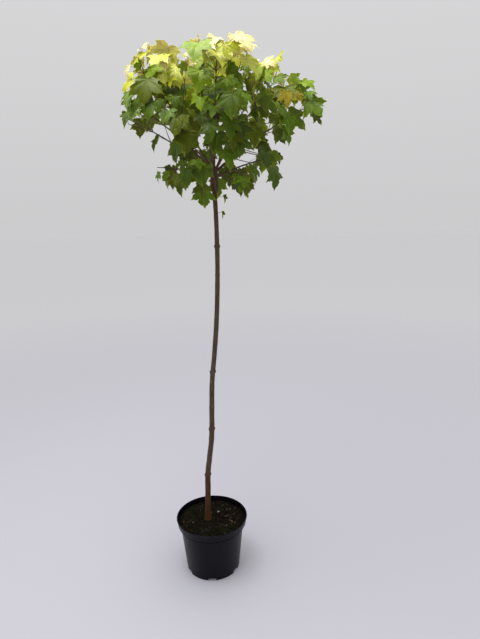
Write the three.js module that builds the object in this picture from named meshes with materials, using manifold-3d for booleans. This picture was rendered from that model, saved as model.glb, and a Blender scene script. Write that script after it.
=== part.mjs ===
// A young standard maple in a black nursery pot: one slender winding trunk, a small umbrella
// crown of leafy shoots that all leave the trunk's head, and the compost it stands in.
// Millimetres, +Z up. The origin is the middle of the pot's flat underside.
// The crown is right of the pot's axis because the trunk leans that way.
import * as THREE from "three";
import { mergeVertices } from "three/addons/utils/BufferGeometryUtils.js";
import Module from "manifold-3d";

const wasm = await Module();
wasm.setup();

// Pot
const POT_HEIGHT = 186;
const POT_RIM_RADIUS = 120;
const POT_COLLAR_FOOT_RADIUS = 116; // the wide band under the rim ends here
const POT_LEDGE = 163; // the height of the collar's foot
const POT_LEDGE_RISE = 3; // the ledge slopes by this much from the body out to the collar
const POT_NECK_RADIUS = 107; // the body just under the ledge
const POT_FOOT_RADIUS = 90;
const POT_FOOT_EDGE = 2; // the bevel round the foot
const POT_LIP = 3.2; // how thick the rolled rim is
const POT_WALL = 1.8;
const POT_FLOOR = 2.4;
const POT_SIDES = 32;
const DRAIN_SLOTS = 6;
const DRAIN_SLOT_WIDTH = 28;
const DRAIN_SLOT_HEIGHT = 10; // above the floor
const DRAIN_SLOT_REACH = 9; // how far a slot cuts in across the floor's edge

// Compost
const COMPOST_TOP = 170;
const CLEARANCE = 0.3; // the gap between pieces that touch
const MERGE_WITHIN = 0.001; // vertices nearer than this are one
const FINEST_EDGE = 0.03; // shorter edges are closed up after a join

// Trunk: [height, sideways, depth] of its middle line, from the compost to the head's top
const TRUNK_LINE = [
  [170.3, -14, 0],
  [261, -11, 2],
  [339, -8.5, 4],
  [400, -1, 3],
  [473, 8.5, 1],
  [580, 12.5, -2],
  [667, 16.5, -3],
  [764, 27, -1],
  [875, 37, 2],
  [1007, 43.5, 4],
  [1100, 45, 3],
  [1190, 44.5, 1],
  [1265, 42.5, 0],
  [1334, 43, 0],
];
const TRUNK_FOOT_RADIUS = 10.5;
const TRUNK_TOP_RADIUS = 6.6;
const TRUNK_TAPER = 0.55; // under 1, the trunk thins faster low down than high up
const ROOT_FLARE = 3.4; // added to the radius at the foot, gone within ROOT_FLARE_HEIGHT
const ROOT_FLARE_HEIGHT = 26;
const TRUNK_SIDES = 8;
const TRUNK_STEPS = 28;
const BUD_HEIGHTS = [336, 468, 503, 578, 700, 1010, 1098, 1215]; // one pair each
const BUD_RADIUS = 2.6;
const BUD_STRETCH = 1.6; // how much taller than wide a bud is
const BUD_FIRST_ANGLE = 14; // degrees; the next pair is a quarter turn on

// Head: the swollen graft union at the trunk's top, which carries the shoots
const HEAD_LOW = 1262;
const HEAD_HIGH = 1334;
const HEAD_RADIUS = 11.5;
const HEAD_SHOULDER = 14; // the height over which the trunk swells into the head

// Crown
const CROWN_AXIS = [72, 0];
const APEX = new THREE.Vector3(43, 0, 1320); // the shoots' own spaces are cones from here
const CROWN_BOTTOM = 1205;
const CROWN_TOP = 1692;
// [height, reach from the crown's axis]: no leaf goes outside this outline
const CROWN_OUTLINE = [
  [1205, 62],
  [1240, 120],
  [1265, 190],
  [1385, 214],
  [1425, 280],
  [1470, 308],
  [1520, 309],
  [1560, 300],
  [1600, 272],
  [1650, 226],
  [1675, 170],
  [1692, 110],
];
const SPACE_MARGIN = 1.5; // how far a leaf's middle surface stays inside its own space

// Shoots: azimuth from +X towards +Y and tilt from upright in degrees, length of bough and
// stem together, and the height on the head where the bough leaves it
const SHOOTS = [
  { name: "leader", azimuth: 25, tilt: 9, space: 4, length: 350, from: 1326, seed: 5472 },
  { name: "top_front", azimuth: -80, tilt: 34, space: 34, length: 340, from: 1313, seed: 12081 },
  { name: "top_left", azimuth: -165, tilt: 34, space: 34, length: 350, from: 1313, seed: 15762 },
  { name: "top_back", azimuth: 108, tilt: 34, space: 34, length: 340, from: 1313, seed: 13219 },
  { name: "top_right", azimuth: 12, tilt: 37, space: 35, length: 340, from: 1313, seed: 8916 },
  { name: "right", azimuth: -14, tilt: 60, space: 62, length: 320, from: 1314, seed: 5877 },
  { name: "right_front", azimuth: -72, tilt: 62, space: 62, length: 280, from: 1310, seed: 4470 },
  { name: "left_front", azimuth: -128, tilt: 61, space: 62, length: 290, from: 1316, seed: 9111 },
  { name: "left", azimuth: 172, tilt: 60, space: 62, length: 300, from: 1312, seed: 5528 },
  { name: "left_back", azimuth: 112, tilt: 62, space: 62, length: 280, from: 1309, seed: 15689 },
  { name: "right_back", azimuth: 48, tilt: 61, space: 62, length: 295, from: 1310, seed: 7018 },
  { name: "low_right", azimuth: -32, tilt: 80, space: 100, length: 200, from: 1300, seed: 5211 },
  { name: "low_front", azimuth: -112, tilt: 80, space: 100, length: 150, from: 1296, seed: 12460 },
  { name: "low_left", azimuth: 168, tilt: 79, space: 100, length: 185, from: 1302, seed: 4285 },
  { name: "low_back", azimuth: 66, tilt: 80, space: 100, length: 165, from: 1298, seed: 13454 },
];
const SHOOT_ARCH = 7; // degrees that a shoot leans out further at its tip than in its middle
const AZIMUTH_JITTER = 6; // degrees that the seed may turn and tilt a shoot
const TILT_JITTER = 3;
const BOUGH_SHARE = 0.26; // the bare part of a shoot: the rest is the stem inside its foliage
const BOUGH_FOOT_RADIUS = 3.6;
const STEM_FOOT_RADIUS = 2.5;
const STEM_TIP_RADIUS = 1.3;
const BOUGH_SIDES = 6;
const STEM_SIDES = 4;
const TWIG_SIDES = 3;

// Leaves and twigs
const NODE_SPACING = 31; // between one pair of leaves and the next
const LEAF_LARGE = 70; // from the leaf stalk's end to the middle lobe's tip
const LEAF_SMALL = 52;
const LEAF_YOUNG = 34;
const LEAF_THICKNESS = 2; // at the stalk's end, thinning to the edge
const BLADE_MIDDLE = 0.05; // the blade's thickest place, in leaf lengths along it
const STALK_MEETS = 0.09; // the stalk meets the blade this share of the way from there to its edge
const STALK_RADIUS = 0.6;
const TWIG_FOOT_RADIUS = 1.6;
const TWIG_TIP_RADIUS = 1.2;
const ROOT_DEPTH = 0.15; // how far a leaf stalk goes in past the middle of its twig
const FIRST_NODE = 12; // from the stem's foot to its first pair of leaves
const NODE_SHIFT = 0.15; // nodes sit this share of their spacing further out
const PAIR_TURN = Math.PI / 2; // between one pair of leaves and the next
const TWIG_SPREAD = 54; // degrees between a stem and its side twigs
const TWIG_RISE = 0.2; // how much a side twig bends up on its way
const TWIG_LONGEST = 0.62; // of the stem's length, for the first twigs; the last are the shortest
const TWIG_SHORTEST = 0.3;
const TWIG_VARIES = [0.85, 1.1];
const TWIG_BARE = 0.4; // the share of a side twig before its first pair of leaves
const TWIG_TURN = 0.8; // radians between a twig's first pair and the pair it grows beside
const MOST_LEAVES = 20; // in one mass
const TRIES = 16; // ways that a leaf is turned before it is left out

// A leaf hugs its twig more with every try: 0 at the first, 1 at the last
const STALK_SPREAD = [48, 66]; // degrees between the twig and a leaf's stalk
const STALK_SPREAD_HUGGING = 16;
const STALK_LENGTH = [0.75, 1.2]; // in leaf lengths
const STALK_RISE = [0, 0.25]; // how much a stalk is turned up
const BLADE_OUTWARD = 0.7; // how much blades point away from the crown's middle
const BLADE_TURN = 30; // degrees, either way
const BLADE_FALL = 16;
const BLADE_ROLL = 26;
const BLADE_CUP = [0.05, 0.3];
const BLADE_FOLD = [-0.04, 0.22];
const HUGGING_SIZE = 0.8; // a leaf at its last try is this share of its size
const HUGGING_SWING = 1.1; // radians that a pair may be turned round its twig
const DROOP_LOW = 74; // degrees that leaves hang at the crown's foot
const DROOP_HIGH = 20; // and at its top
const DROOP_FROM = 1260;
const DROOP_YOUNG = 58;

// Keys that keep one random source apart from another
const PLAN_KEY = 11;
const GROW_KEY = 7;
const TIP_KEY = 99;

const OUTLINE = [
  // the blade's corners from its tip round by the right, in leaf lengths: across, along
  [0, 1],
  [0.24, 0.58],
  [0.66, 0.62],
  [0.48, 0.24],
  [0.5, -0.1],
  [-0.5, -0.1],
  [-0.48, 0.24],
  [-0.66, 0.62],
  [-0.24, 0.58],
];

// Lone leaves on the trunk just under the crown: where each leaves it, the length of its stalk, and
// the way its blade faces and hangs, in degrees
const SPROUTS = [
  { name: "lone_leaf_left", height: 1262, azimuth: -172, stalk: 32, size: 56, face: -118, droop: 82 },
  { name: "lone_leaf_right", height: 1240, azimuth: -14, stalk: 27, size: 22, face: -50, droop: 66 },
  { name: "lone_leaf_low", height: 1196, azimuth: -20, stalk: 20, size: 21, face: -60, droop: 76 },
];

const UP = new THREE.Vector3(0, 0, 1);
const CYLINDER_AXIS = new THREE.Vector3(0, 1, 0);
const radians = THREE.MathUtils.degToRad;
const lerp = THREE.MathUtils.lerp;
const clamp = THREE.MathUtils.clamp;

// A repeatable random source: the same whole-number keys always give the same numbers.
function randomFrom(...keys) {
  let state = 0x9e3779b9;
  for (const key of keys) {
    state = Math.imul(state ^ key, 0x85ebca6b) >>> 0;
    state = Math.imul(state ^ (state >>> 13), 0xc2b2ae35) >>> 0;
    state = (state ^ (state >>> 16)) >>> 0;
  }
  return () => {
    state = (Math.imul(state, 1664525) + 1013904223) >>> 0;
    return state / 4294967296;
  };
}

function between(random, low, high) {
  return low + (high - low) * random();
}

function heading(azimuth, tilt) {
  const a = radians(azimuth);
  const t = radians(tilt);
  return new THREE.Vector3(Math.sin(t) * Math.cos(a), Math.sin(t) * Math.sin(a), Math.cos(t));
}

// A value read off a list of [position, value] rows, with straight lines between them.
function readOff(rows, position) {
  const last = rows.length - 1;
  if (position <= rows[0][0]) return rows[0][1];
  if (position >= rows[last][0]) return rows[last][1];
  const i = rows.findIndex((row) => row[0] >= position);
  const share = (position - rows[i - 1][0]) / (rows[i][0] - rows[i - 1][0]);
  return lerp(rows[i - 1][1], rows[i][1], share);
}

function solidFrom(geometry) {
  const bare = geometry.clone();
  bare.deleteAttribute("normal");
  bare.deleteAttribute("uv");
  const merged = mergeVertices(bare, MERGE_WITHIN);
  const kept = [];
  for (let i = 0; i < merged.index.count; i += 3) {
    const corners = [0, 1, 2].map((k) => merged.index.getX(i + k));
    if (new Set(corners).size === 3) kept.push(...corners);
  }
  return new wasm.Manifold(
    new wasm.Mesh({
      numProp: 3,
      vertProperties: new Float32Array(merged.attributes.position.array),
      triVerts: new Uint32Array(kept),
    }),
  );
}

function geometryFrom(solid) {
  const mesh = solid.getMesh();
  const geometry = new THREE.BufferGeometry();
  geometry.setAttribute("position", new THREE.BufferAttribute(mesh.vertProperties, 3));
  geometry.setIndex(new THREE.BufferAttribute(mesh.triVerts, 1));
  geometry.computeVertexNormals();
  return geometry;
}

// A tapering limb: a cylinder's rings are set along the curve, each as wide as radiusAt says.
function limb(curve, radiusAt, sides, steps) {
  const geometry = new THREE.CylinderGeometry(1, 1, 1, sides, steps);
  const frames = curve.computeFrenetFrames(steps, false);
  const position = geometry.attributes.position;
  for (let i = 0; i < position.count; i++) {
    const ring = Math.round((0.5 - position.getY(i)) * steps);
    const share = ring / steps;
    const radius = radiusAt(share);
    const point = curve
      .getPointAt(share)
      .addScaledVector(frames.normals[ring], radius * position.getZ(i))
      .addScaledVector(frames.binormals[ring], radius * position.getX(i));
    position.setXYZ(i, point.x, point.y, point.z);
  }
  return facingOut(solidFrom(geometry), geometry);
}

// A solid whose faces turned out to point inwards is made again the other way round.
function facingOut(solid, geometry) {
  if (solid.volume() > 0) return solid;
  const index = geometry.index.array;
  for (let i = 0; i < index.length; i += 3) [index[i + 1], index[i + 2]] = [index[i + 2], index[i + 1]];
  return solidFrom(geometry);
}

// A solid turned about +Z from a profile of [radius, height] rows that starts and ends on the axis
function turned(profile) {
  const points = profile.map(([radius, height]) => new THREE.Vector2(radius, height));
  const geometry = new THREE.LatheGeometry(points, POT_SIDES).rotateX(Math.PI / 2);
  return facingOut(solidFrom(geometry), geometry);
}

// The pot's inner side from the middle of its floor to its rim, drawn in by a gap
function potInside(gap) {
  return [
    [0, POT_FLOOR + gap],
    [POT_FOOT_RADIUS - POT_WALL - gap, POT_FLOOR + gap],
    [POT_NECK_RADIUS - POT_WALL - gap, POT_LEDGE - POT_LEDGE_RISE + POT_WALL / 2 + gap],
    [POT_COLLAR_FOOT_RADIUS - POT_WALL - gap, POT_LEDGE + POT_WALL / 2 + gap],
    [POT_RIM_RADIUS - POT_LIP - gap, POT_HEIGHT],
  ];
}

// Pot: a tapering body, a ledge out to the collar, a thick rim, and slots round the floor's edge
function makePot() {
  const outside = [
    [POT_RIM_RADIUS, POT_HEIGHT],
    [POT_RIM_RADIUS, POT_HEIGHT - POT_LIP],
    [POT_RIM_RADIUS - POT_LIP + POT_WALL, POT_HEIGHT - 2 * POT_LIP],
    [POT_COLLAR_FOOT_RADIUS, POT_LEDGE],
    [POT_NECK_RADIUS, POT_LEDGE - POT_LEDGE_RISE],
    [POT_FOOT_RADIUS, POT_FOOT_EDGE],
    [POT_FOOT_RADIUS - POT_FOOT_EDGE, 0],
    [0, 0],
  ];
  let pot = turned([...potInside(0), ...outside]);
  const slotHigh = POT_FLOOR + DRAIN_SLOT_HEIGHT;
  for (let i = 0; i < DRAIN_SLOTS; i++) {
    const slot = new THREE.BoxGeometry(2 * DRAIN_SLOT_REACH, DRAIN_SLOT_WIDTH, 2 * slotHigh)
      .translate(POT_FOOT_RADIUS, 0, 0)
      .rotateZ(((i + 0.5) / DRAIN_SLOTS) * 2 * Math.PI);
    pot = pot.subtract(solidFrom(slot));
  }
  return pot;
}

// Compost: it fills the pot up to COMPOST_TOP, clear of the wall
function makeCompost() {
  const inside = potInside(2 * CLEARANCE);
  const filled = inside.filter(([, height]) => height < COMPOST_TOP);
  const radiusAtTop = readOff(inside.map(([radius, height]) => [height, radius]), COMPOST_TOP);
  return turned([...filled, [radiusAtTop, COMPOST_TOP], [0, COMPOST_TOP]]);
}

// Trunk
const trunkCurve = new THREE.CatmullRomCurve3(
  TRUNK_LINE.map(([z, x, y]) => new THREE.Vector3(x, y, z)),
  false,
  "centripetal",
);

function trunkRadius(height) {
  const foot = TRUNK_LINE[0][0];
  const share = (height - foot) / (HEAD_HIGH - foot);
  const taper = lerp(TRUNK_FOOT_RADIUS, TRUNK_TOP_RADIUS, Math.pow(clamp(share, 0, 1), TRUNK_TAPER));
  const flare = ROOT_FLARE * Math.exp(-(height - foot) / (ROOT_FLARE_HEIGHT / 2));
  const head = clamp((height - HEAD_LOW + HEAD_SHOULDER) / HEAD_SHOULDER, 0, 1);
  return Math.max(taper + flare, head * HEAD_RADIUS);
}

// The trunk's middle line at a height
function trunkMiddle(height) {
  let low = 0;
  let high = 1;
  for (let i = 0; i < 40; i++) {
    const middle = (low + high) / 2;
    if (trunkCurve.getPointAt(middle).z < height) low = middle;
    else high = middle;
  }
  return trunkCurve.getPointAt(low);
}

function makeTrunk(grown = 0) {
  let trunk = limb(
    trunkCurve,
    (share) => trunkRadius(trunkCurve.getPointAt(share).z) + grown,
    TRUNK_SIDES,
    TRUNK_STEPS,
  );
  trunk = trunk.trimByPlane([0, 0, 1], TRUNK_LINE[0][0]);
  BUD_HEIGHTS.forEach((height, i) => {
    const middle = trunkMiddle(height);
    for (const turn of [0, 180]) {
      const side = heading(BUD_FIRST_ANGLE + 90 * i + turn, 90);
      const bud = new THREE.OctahedronGeometry(BUD_RADIUS + grown)
        .scale(1, 1, BUD_STRETCH)
        .translate(...middle.clone().addScaledVector(side, trunkRadius(height)).toArray());
      trunk = trunk.add(solidFrom(bud));
    }
  });
  return trunk;
}

// Spaces: a point is in a shoot's space if that shoot's direction from the apex is the nearest
function inSpace(point, shoot) {
  const reach = Math.hypot(point.x - CROWN_AXIS[0], point.y - CROWN_AXIS[1]);
  if (point.z < CROWN_BOTTOM || point.z > CROWN_TOP) return false;
  if (reach > readOff(CROWN_OUTLINE, point.z)) return false;
  const out = point.clone().sub(APEX);
  return shoot.walls.every((wall) => out.dot(wall) >= SPACE_MARGIN);
}

function planShoots() {
  for (const shoot of SHOOTS) {
    const random = randomFrom(PLAN_KEY, shoot.seed);
    const middle = trunkMiddle(shoot.from);
    const azimuth = shoot.azimuth + between(random, -AZIMUTH_JITTER, AZIMUTH_JITTER);
    const tilt = shoot.tilt + between(random, -TILT_JITTER, TILT_JITTER);
    const start = heading(azimuth, tilt - SHOOT_ARCH);
    const end = heading(azimuth, tilt + SHOOT_ARCH);
    const half = middle.clone().addScaledVector(start, shoot.length / 2);
    const tip = half.clone().addScaledVector(end, shoot.length / 2);
    shoot.curve = new THREE.QuadraticBezierCurve3(middle, half, tip);
    shoot.direction = heading(shoot.azimuth, shoot.space);
  }
  for (const shoot of SHOOTS)
    shoot.walls = SHOOTS.filter((other) => other !== shoot).map((other) =>
      shoot.direction.clone().sub(other.direction).normalize(),
    );
}

// Part of a curve, from one share of its length to another
class Stretch extends THREE.Curve {
  constructor(curve, from, to) {
    super();
    this.whole = curve;
    this.from = from;
    this.to = to;
  }
  getPoint(share, target = new THREE.Vector3()) {
    return target.copy(this.whole.getPointAt(lerp(this.from, this.to, share)));
  }
}

// Does any of the straight pieces go through any of the triangles?
function pierces(pieces, triangles) {
  const ray = new THREE.Ray();
  const hit = new THREE.Vector3();
  return pieces.some(([a, b]) => {
    const length = a.distanceTo(b);
    ray.origin.copy(a);
    ray.direction.copy(b).sub(a).divideScalar(length);
    return triangles.some(
      ([p, q, r]) =>
        ray.intersectTriangle(p, q, r, false, hit) !== null && hit.distanceTo(a) <= length,
    );
  });
}

// What stands in a shoot's space: straight pieces and triangles, in groups with a bounding ball
class Standing {
  constructor() {
    this.groups = [];
  }
  add(pieces, triangles) {
    const points = [...pieces.flat(), ...triangles.flat()];
    const ball = new THREE.Sphere().setFromPoints(points);
    this.groups.push({ pieces, triangles, ball });
  }
  isHitBy(pieces, triangles) {
    const ball = new THREE.Sphere().setFromPoints([...pieces.flat(), ...triangles.flat()]);
    return this.groups.some(
      (group) =>
        group.ball.intersectsSphere(ball) &&
        (pierces(pieces, group.triangles) || pierces(group.pieces, triangles)),
    );
  }
}

// A limb as a slightly grown four-sided prism of triangles, for leaves to keep away from
function guard(curve, radiusAt, steps, margin) {
  const frames = curve.computeFrenetFrames(steps, false);
  const rings = [];
  for (let i = 0; i <= steps; i++) {
    const radius = (radiusAt(i / steps) + margin) * Math.SQRT2;
    const ring = [0, 90, 180, 270].map((turn) =>
      curve
        .getPointAt(i / steps)
        .addScaledVector(frames.normals[i], radius * Math.cos(radians(turn)))
        .addScaledVector(frames.binormals[i], radius * Math.sin(radians(turn))),
    );
    rings.push(ring);
  }
  const triangles = [];
  const pieces = [];
  for (let i = 0; i < steps; i++)
    for (let k = 0; k < 4; k++) {
      const [a, b] = [rings[i][k], rings[i][(k + 1) % 4]];
      const [c, d] = [rings[i + 1][k], rings[i + 1][(k + 1) % 4]];
      triangles.push([a, b, d], [a, d, c]);
      pieces.push([a, c]);
    }
  return [pieces, triangles];
}

// A point of a blade, which bends down along its length by its cup, and up at its sides by its fold
function bladePoint(leaf, across, along, lift = 0) {
  const height = leaf.fold * Math.abs(across) - leaf.cup * along * Math.abs(along);
  return leaf.base
    .clone()
    .addScaledVector(leaf.across, across * leaf.size)
    .addScaledVector(leaf.along, along * leaf.size)
    .addScaledVector(leaf.normal, lift + height * leaf.size);
}

// A blade's edge, the straight pieces of it, and the triangles between it and the stalk's end
function bladeSketch(leaf) {
  const edge = OUTLINE.map(([across, along]) => bladePoint(leaf, across, along));
  const triangles = edge.map((point, i) => [leaf.base, point, edge[(i + 1) % edge.length]]);
  const pieces = edge.map((point, i) => [point, edge[(i + 1) % edge.length]]);
  return { edge, triangles, pieces };
}

// A leaf at the end of a stalk that leaves a twig's node sideways; hug, from 0 to 1, turns the
// stalk towards the twig's own direction, so that a leaf can fit where there is little room
function poseLeaf(node, side, size, droop, hug, random) {
  const spread = radians(lerp(between(random, ...STALK_SPREAD), STALK_SPREAD_HUGGING, hug));
  const start = node.tangent
    .clone()
    .multiplyScalar(Math.cos(spread))
    .addScaledVector(side, Math.sin(spread))
    .normalize();
  const stalk = size * between(random, ...STALK_LENGTH);
  const rise = new THREE.Vector3(0, 0, between(random, ...STALK_RISE));
  const base = node.point.clone().addScaledVector(start.clone().add(rise).normalize(), stalk);
  const outward = new THREE.Vector3(node.point.x - APEX.x, node.point.y - APEX.y, 0).normalize();
  const forward = new THREE.Vector3(start.x, start.y, 0)
    .normalize()
    .addScaledVector(outward, BLADE_OUTWARD)
    .normalize()
    .applyAxisAngle(UP, radians(between(random, -BLADE_TURN, BLADE_TURN)));
  const fall = radians(droop + between(random, -BLADE_FALL, BLADE_FALL));
  const along = forward.clone().multiplyScalar(Math.cos(fall)).addScaledVector(UP, -Math.sin(fall));
  const across = new THREE.Vector3()
    .crossVectors(along, UP)
    .normalize()
    .applyAxisAngle(along, radians(between(random, -BLADE_ROLL, BLADE_ROLL)));
  const normal = new THREE.Vector3().crossVectors(across, along).normalize();
  const cup = between(random, ...BLADE_CUP);
  const fold = between(random, ...BLADE_FOLD);
  return { root: node.point, base, along, across, normal, size, cup, fold };
}

function leafFits(leaf, shoot) {
  const blade = bladeSketch(leaf);
  const points = [...blade.edge, leaf.base];
  if (!points.every((point) => inSpace(point, shoot))) return null;
  const stalk = [[leaf.root.clone().lerp(leaf.base, 0.1), leaf.root.clone().lerp(leaf.base, 0.97)]];
  const pieces = [...blade.pieces, ...stalk];
  if (shoot.standing.isHitBy(pieces, blade.triangles)) return null;
  if (limbs.isHitBy(pieces, blade.triangles)) return null;
  return { pieces, triangles: blade.triangles };
}

// The solid of a blade: a flat cone with its rim drawn out to the outline, its point on the underside
// and the middle of its base on the upper side
function bladeSolid(leaf) {
  const corners = OUTLINE.length;
  const geometry = new THREE.ConeGeometry(1, 1, corners, 1);
  const position = geometry.attributes.position;
  for (let i = 0; i < position.count; i++) {
    const [x, y, z] = [position.getX(i), position.getY(i), position.getZ(i)];
    const turn = Math.round((Math.atan2(x, z) / (2 * Math.PI)) * corners);
    const onAxis = Math.hypot(x, z) < 0.5;
    const lift = (-Math.sign(y) * LEAF_THICKNESS) / 2;
    const point = onAxis
      ? bladePoint(leaf, 0, BLADE_MIDDLE, lift)
      : bladePoint(leaf, ...OUTLINE[(turn + corners) % corners]);
    position.setXYZ(i, point.x, point.y, point.z);
  }
  return facingOut(solidFrom(geometry), geometry);
}

// A straight three-sided rod that tapers from its foot to its tip
function rod(foot, tip, footRadius, tipRadius) {
  const axis = tip.clone().sub(foot);
  const length = axis.length();
  const turn = new THREE.Quaternion().setFromUnitVectors(CYLINDER_AXIS, axis.normalize());
  const geometry = new THREE.CylinderGeometry(tipRadius, footRadius, length, TWIG_SIDES)
    .translate(0, length / 2, 0)
    .applyQuaternion(turn)
    .translate(foot.x, foot.y, foot.z);
  return solidFrom(geometry);
}

// A leaf's stalk, from the middle of its twig to just off the middle of its blade, where it goes
// into the flat underside of one facet
function stalkSolid(leaf) {
  const inward = leaf.root.clone().sub(leaf.base).normalize();
  const foot = leaf.root.clone().addScaledVector(inward, ROOT_DEPTH);
  const edge = bladePoint(leaf, ...OUTLINE[0]).lerp(bladePoint(leaf, ...OUTLINE[1]), 0.5);
  const end = bladePoint(leaf, 0, BLADE_MIDDLE).lerp(edge, STALK_MEETS);
  return rod(foot, end, STALK_RADIUS, STALK_RADIUS);
}

function sideways(tangent, turn) {
  const across = new THREE.Vector3().crossVectors(tangent, UP);
  if (across.length() < 0.05) across.set(1, 0, 0);
  return across.normalize().applyAxisAngle(tangent, turn);
}

// The nodes of a twig, each with a pair of leaves; the pairs turn a quarter from one to the next
function twigNodes(curve, length, first, phase) {
  const count = Math.max(1, Math.round((length - first) / NODE_SPACING));
  const nodes = [];
  for (let k = 0; k < count; k++) {
    const share = (first + ((k + NODE_SHIFT) / (count - NODE_SHIFT)) * (length - first)) / length;
    const point = curve.getPointAt(clamp(share, 0, 1));
    const tangent = curve.getTangentAt(clamp(share, 0, 1));
    nodes.push({ point, tangent, share, turn: phase + k * PAIR_TURN });
  }
  return nodes;
}

// How steeply leaves hang: nearly flat at the crown's top, almost straight down at its foot
function droopAt(height) {
  return lerp(DROOP_LOW, DROOP_HIGH, clamp((height - DROOP_FROM) / (CROWN_TOP - DROOP_FROM), 0, 1));
}

// A twig that leaves a node, bending up a little on its way
function sideTwig(node, side, length) {
  const spread = radians(TWIG_SPREAD);
  const start = node.tangent
    .clone()
    .multiplyScalar(Math.cos(spread))
    .addScaledVector(side, Math.sin(spread))
    .normalize();
  const bend = node.point.clone().addScaledVector(start, length / 2);
  const end = start.clone().addScaledVector(UP, TWIG_RISE).normalize();
  const tip = bend.clone().addScaledVector(end, length / 2);
  return new THREE.QuadraticBezierCurve3(node.point, bend, tip);
}

function growShoot(shoot) {
  const random = randomFrom(GROW_KEY, shoot.seed);
  shoot.standing = new Standing();
  shoot.leaves = [];
  const stem = new Stretch(shoot.curve, BOUGH_SHARE + CLEARANCE / shoot.length / 2, 1);
  const stemLength = shoot.length * (1 - BOUGH_SHARE);
  const stemRadius = (share) => lerp(STEM_FOOT_RADIUS, STEM_TIP_RADIUS, share);
  const solids = [limb(stem, stemRadius, STEM_SIDES, 3)];
  const stemLine = stem.getPoints(6);
  shoot.standing.add(stemLine.slice(1).map((point, i) => [stemLine[i], point]), []);
  const nodes = twigNodes(stem, stemLength, FIRST_NODE, between(random, 0, Math.PI));
  placePair(tipNode(stem, nodes.at(-1).turn), [shoot.seed, 0, TIP_KEY], true, shoot, solids);
  nodes.forEach((node, k) => placePair(node, [shoot.seed, 0, k], false, shoot, solids));
  nodes.slice(0, -2).forEach((node, k) => {
    if (k % 2 === 1) return;
    for (const flip of [0, 1]) {
      const side = sideways(node.tangent, node.turn + flip * Math.PI + Math.PI / 2);
      const share = lerp(TWIG_LONGEST, TWIG_SHORTEST, node.share);
      const length = stemLength * share * between(random, ...TWIG_VARIES);
      const twig = sideTwig(node, side, length);
      if (![0.6, 0.8, 1].every((share) => inSpace(twig.getPointAt(share), shoot))) continue;
      const before = shoot.leaves.length;
      const key = [shoot.seed, 1 + 2 * k + flip];
      placePair(tipNode(twig, node.turn + TWIG_TURN), [...key, TIP_KEY], true, shoot, solids);
      twigNodes(twig, length, length * TWIG_BARE, node.turn + TWIG_TURN).forEach((small, j) =>
        placePair(small, [...key, j], false, shoot, solids),
      );
      if (shoot.leaves.length > before)
        solids.push(rod(node.point, twig.getPoint(1), TWIG_FOOT_RADIUS, TWIG_TIP_RADIUS));
    }
  });
  return solids;
}

function tipNode(curve, turn) {
  return { point: curve.getPointAt(0.995), tangent: curve.getTangentAt(1), turn: turn + PAIR_TURN };
}

// Two leaves on opposite sides of a node; each is turned and tried again until it fits
function placePair(node, key, young, shoot, solids) {
  for (const flip of [0, 1])
    for (let attempt = 0; attempt < TRIES && shoot.leaves.length < MOST_LEAVES; attempt++) {
      const random = randomFrom(...key, flip, attempt);
      const hug = attempt / (TRIES - 1);
      const grown = young ? LEAF_YOUNG : between(random, LEAF_SMALL, LEAF_LARGE);
      const swing = (attempt % 2 ? 1 : -1) * HUGGING_SWING * hug;
      const side = sideways(node.tangent, node.turn + flip * Math.PI + swing);
      const droop = young ? DROOP_YOUNG : droopAt(node.point.z);
      const size = grown * lerp(1, HUGGING_SIZE, hug);
      const leaf = poseLeaf(node, side, size, droop, hug, random);
      const sketch = leafFits(leaf, shoot);
      if (!sketch) continue;
      shoot.standing.add(sketch.pieces, sketch.triangles);
      shoot.leaves.push(leaf);
      solids.push(bladeSolid(leaf), stalkSolid(leaf));
      break;
    }
}

// The largest body of a solid. Vertices that booleans leave almost on each other are brought
// together first, so that no hair-thin neck joins a scrap to it; hollows and scraps are dropped.
function mainBody(solid) {
  const clean = solidFrom(geometryFrom(solid.simplify(FINEST_EDGE)));
  const bodies = clean.decompose();
  bodies.sort((a, b) => b.volume() - a.volume());
  return bodies[0];
}

function makeBough(shoot, trunkGrown) {
  const bough = new Stretch(shoot.curve, 0, BOUGH_SHARE - CLEARANCE / shoot.length / 2);
  const radius = (share) => lerp(BOUGH_FOOT_RADIUS, STEM_FOOT_RADIUS, share);
  return mainBody(limb(bough, radius, BOUGH_SIDES, 2).subtract(trunkGrown));
}

function sproutLeaf(sprout) {
  const root = trunkMiddle(sprout.height);
  const base = root.clone().addScaledVector(heading(sprout.azimuth, 78), sprout.stalk);
  const along = heading(sprout.face, 90 + sprout.droop);
  const across = new THREE.Vector3().crossVectors(along, UP).normalize();
  const normal = new THREE.Vector3().crossVectors(across, along);
  return { root, base, along, across, normal, size: sprout.size, cup: 0.12, fold: 0.1 };
}

const plant = new THREE.Group();

const materials = {
  pot: new THREE.MeshStandardMaterial({ color: 0x17171b, roughness: 0.42, metalness: 0 }),
  compost: new THREE.MeshStandardMaterial({ color: 0x1d160f, roughness: 0.95, metalness: 0 }),
  bark: new THREE.MeshStandardMaterial({ color: 0x4a3a2e, roughness: 0.85, metalness: 0 }),
  foliage: new THREE.MeshStandardMaterial({ color: 0x4f7a1f, roughness: 0.55, metalness: 0 }),
};

function addNode(name, solid, material) {
  const mesh = new THREE.Mesh(geometryFrom(solid), material);
  mesh.name = name;
  plant.add(mesh);
}

const limbs = new Standing();
planShoots();
limbs.add(...guard(trunkCurve, (share) => trunkRadius(trunkCurve.getPointAt(share).z), 26, 2));
for (const shoot of SHOOTS)
  limbs.add(...guard(new Stretch(shoot.curve, 0, BOUGH_SHARE), () => BOUGH_FOOT_RADIUS, 3, 1));

for (const sprout of SPROUTS) {
  const sketch = bladeSketch(sproutLeaf(sprout));
  limbs.add(sketch.pieces, sketch.triangles);
}

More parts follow.
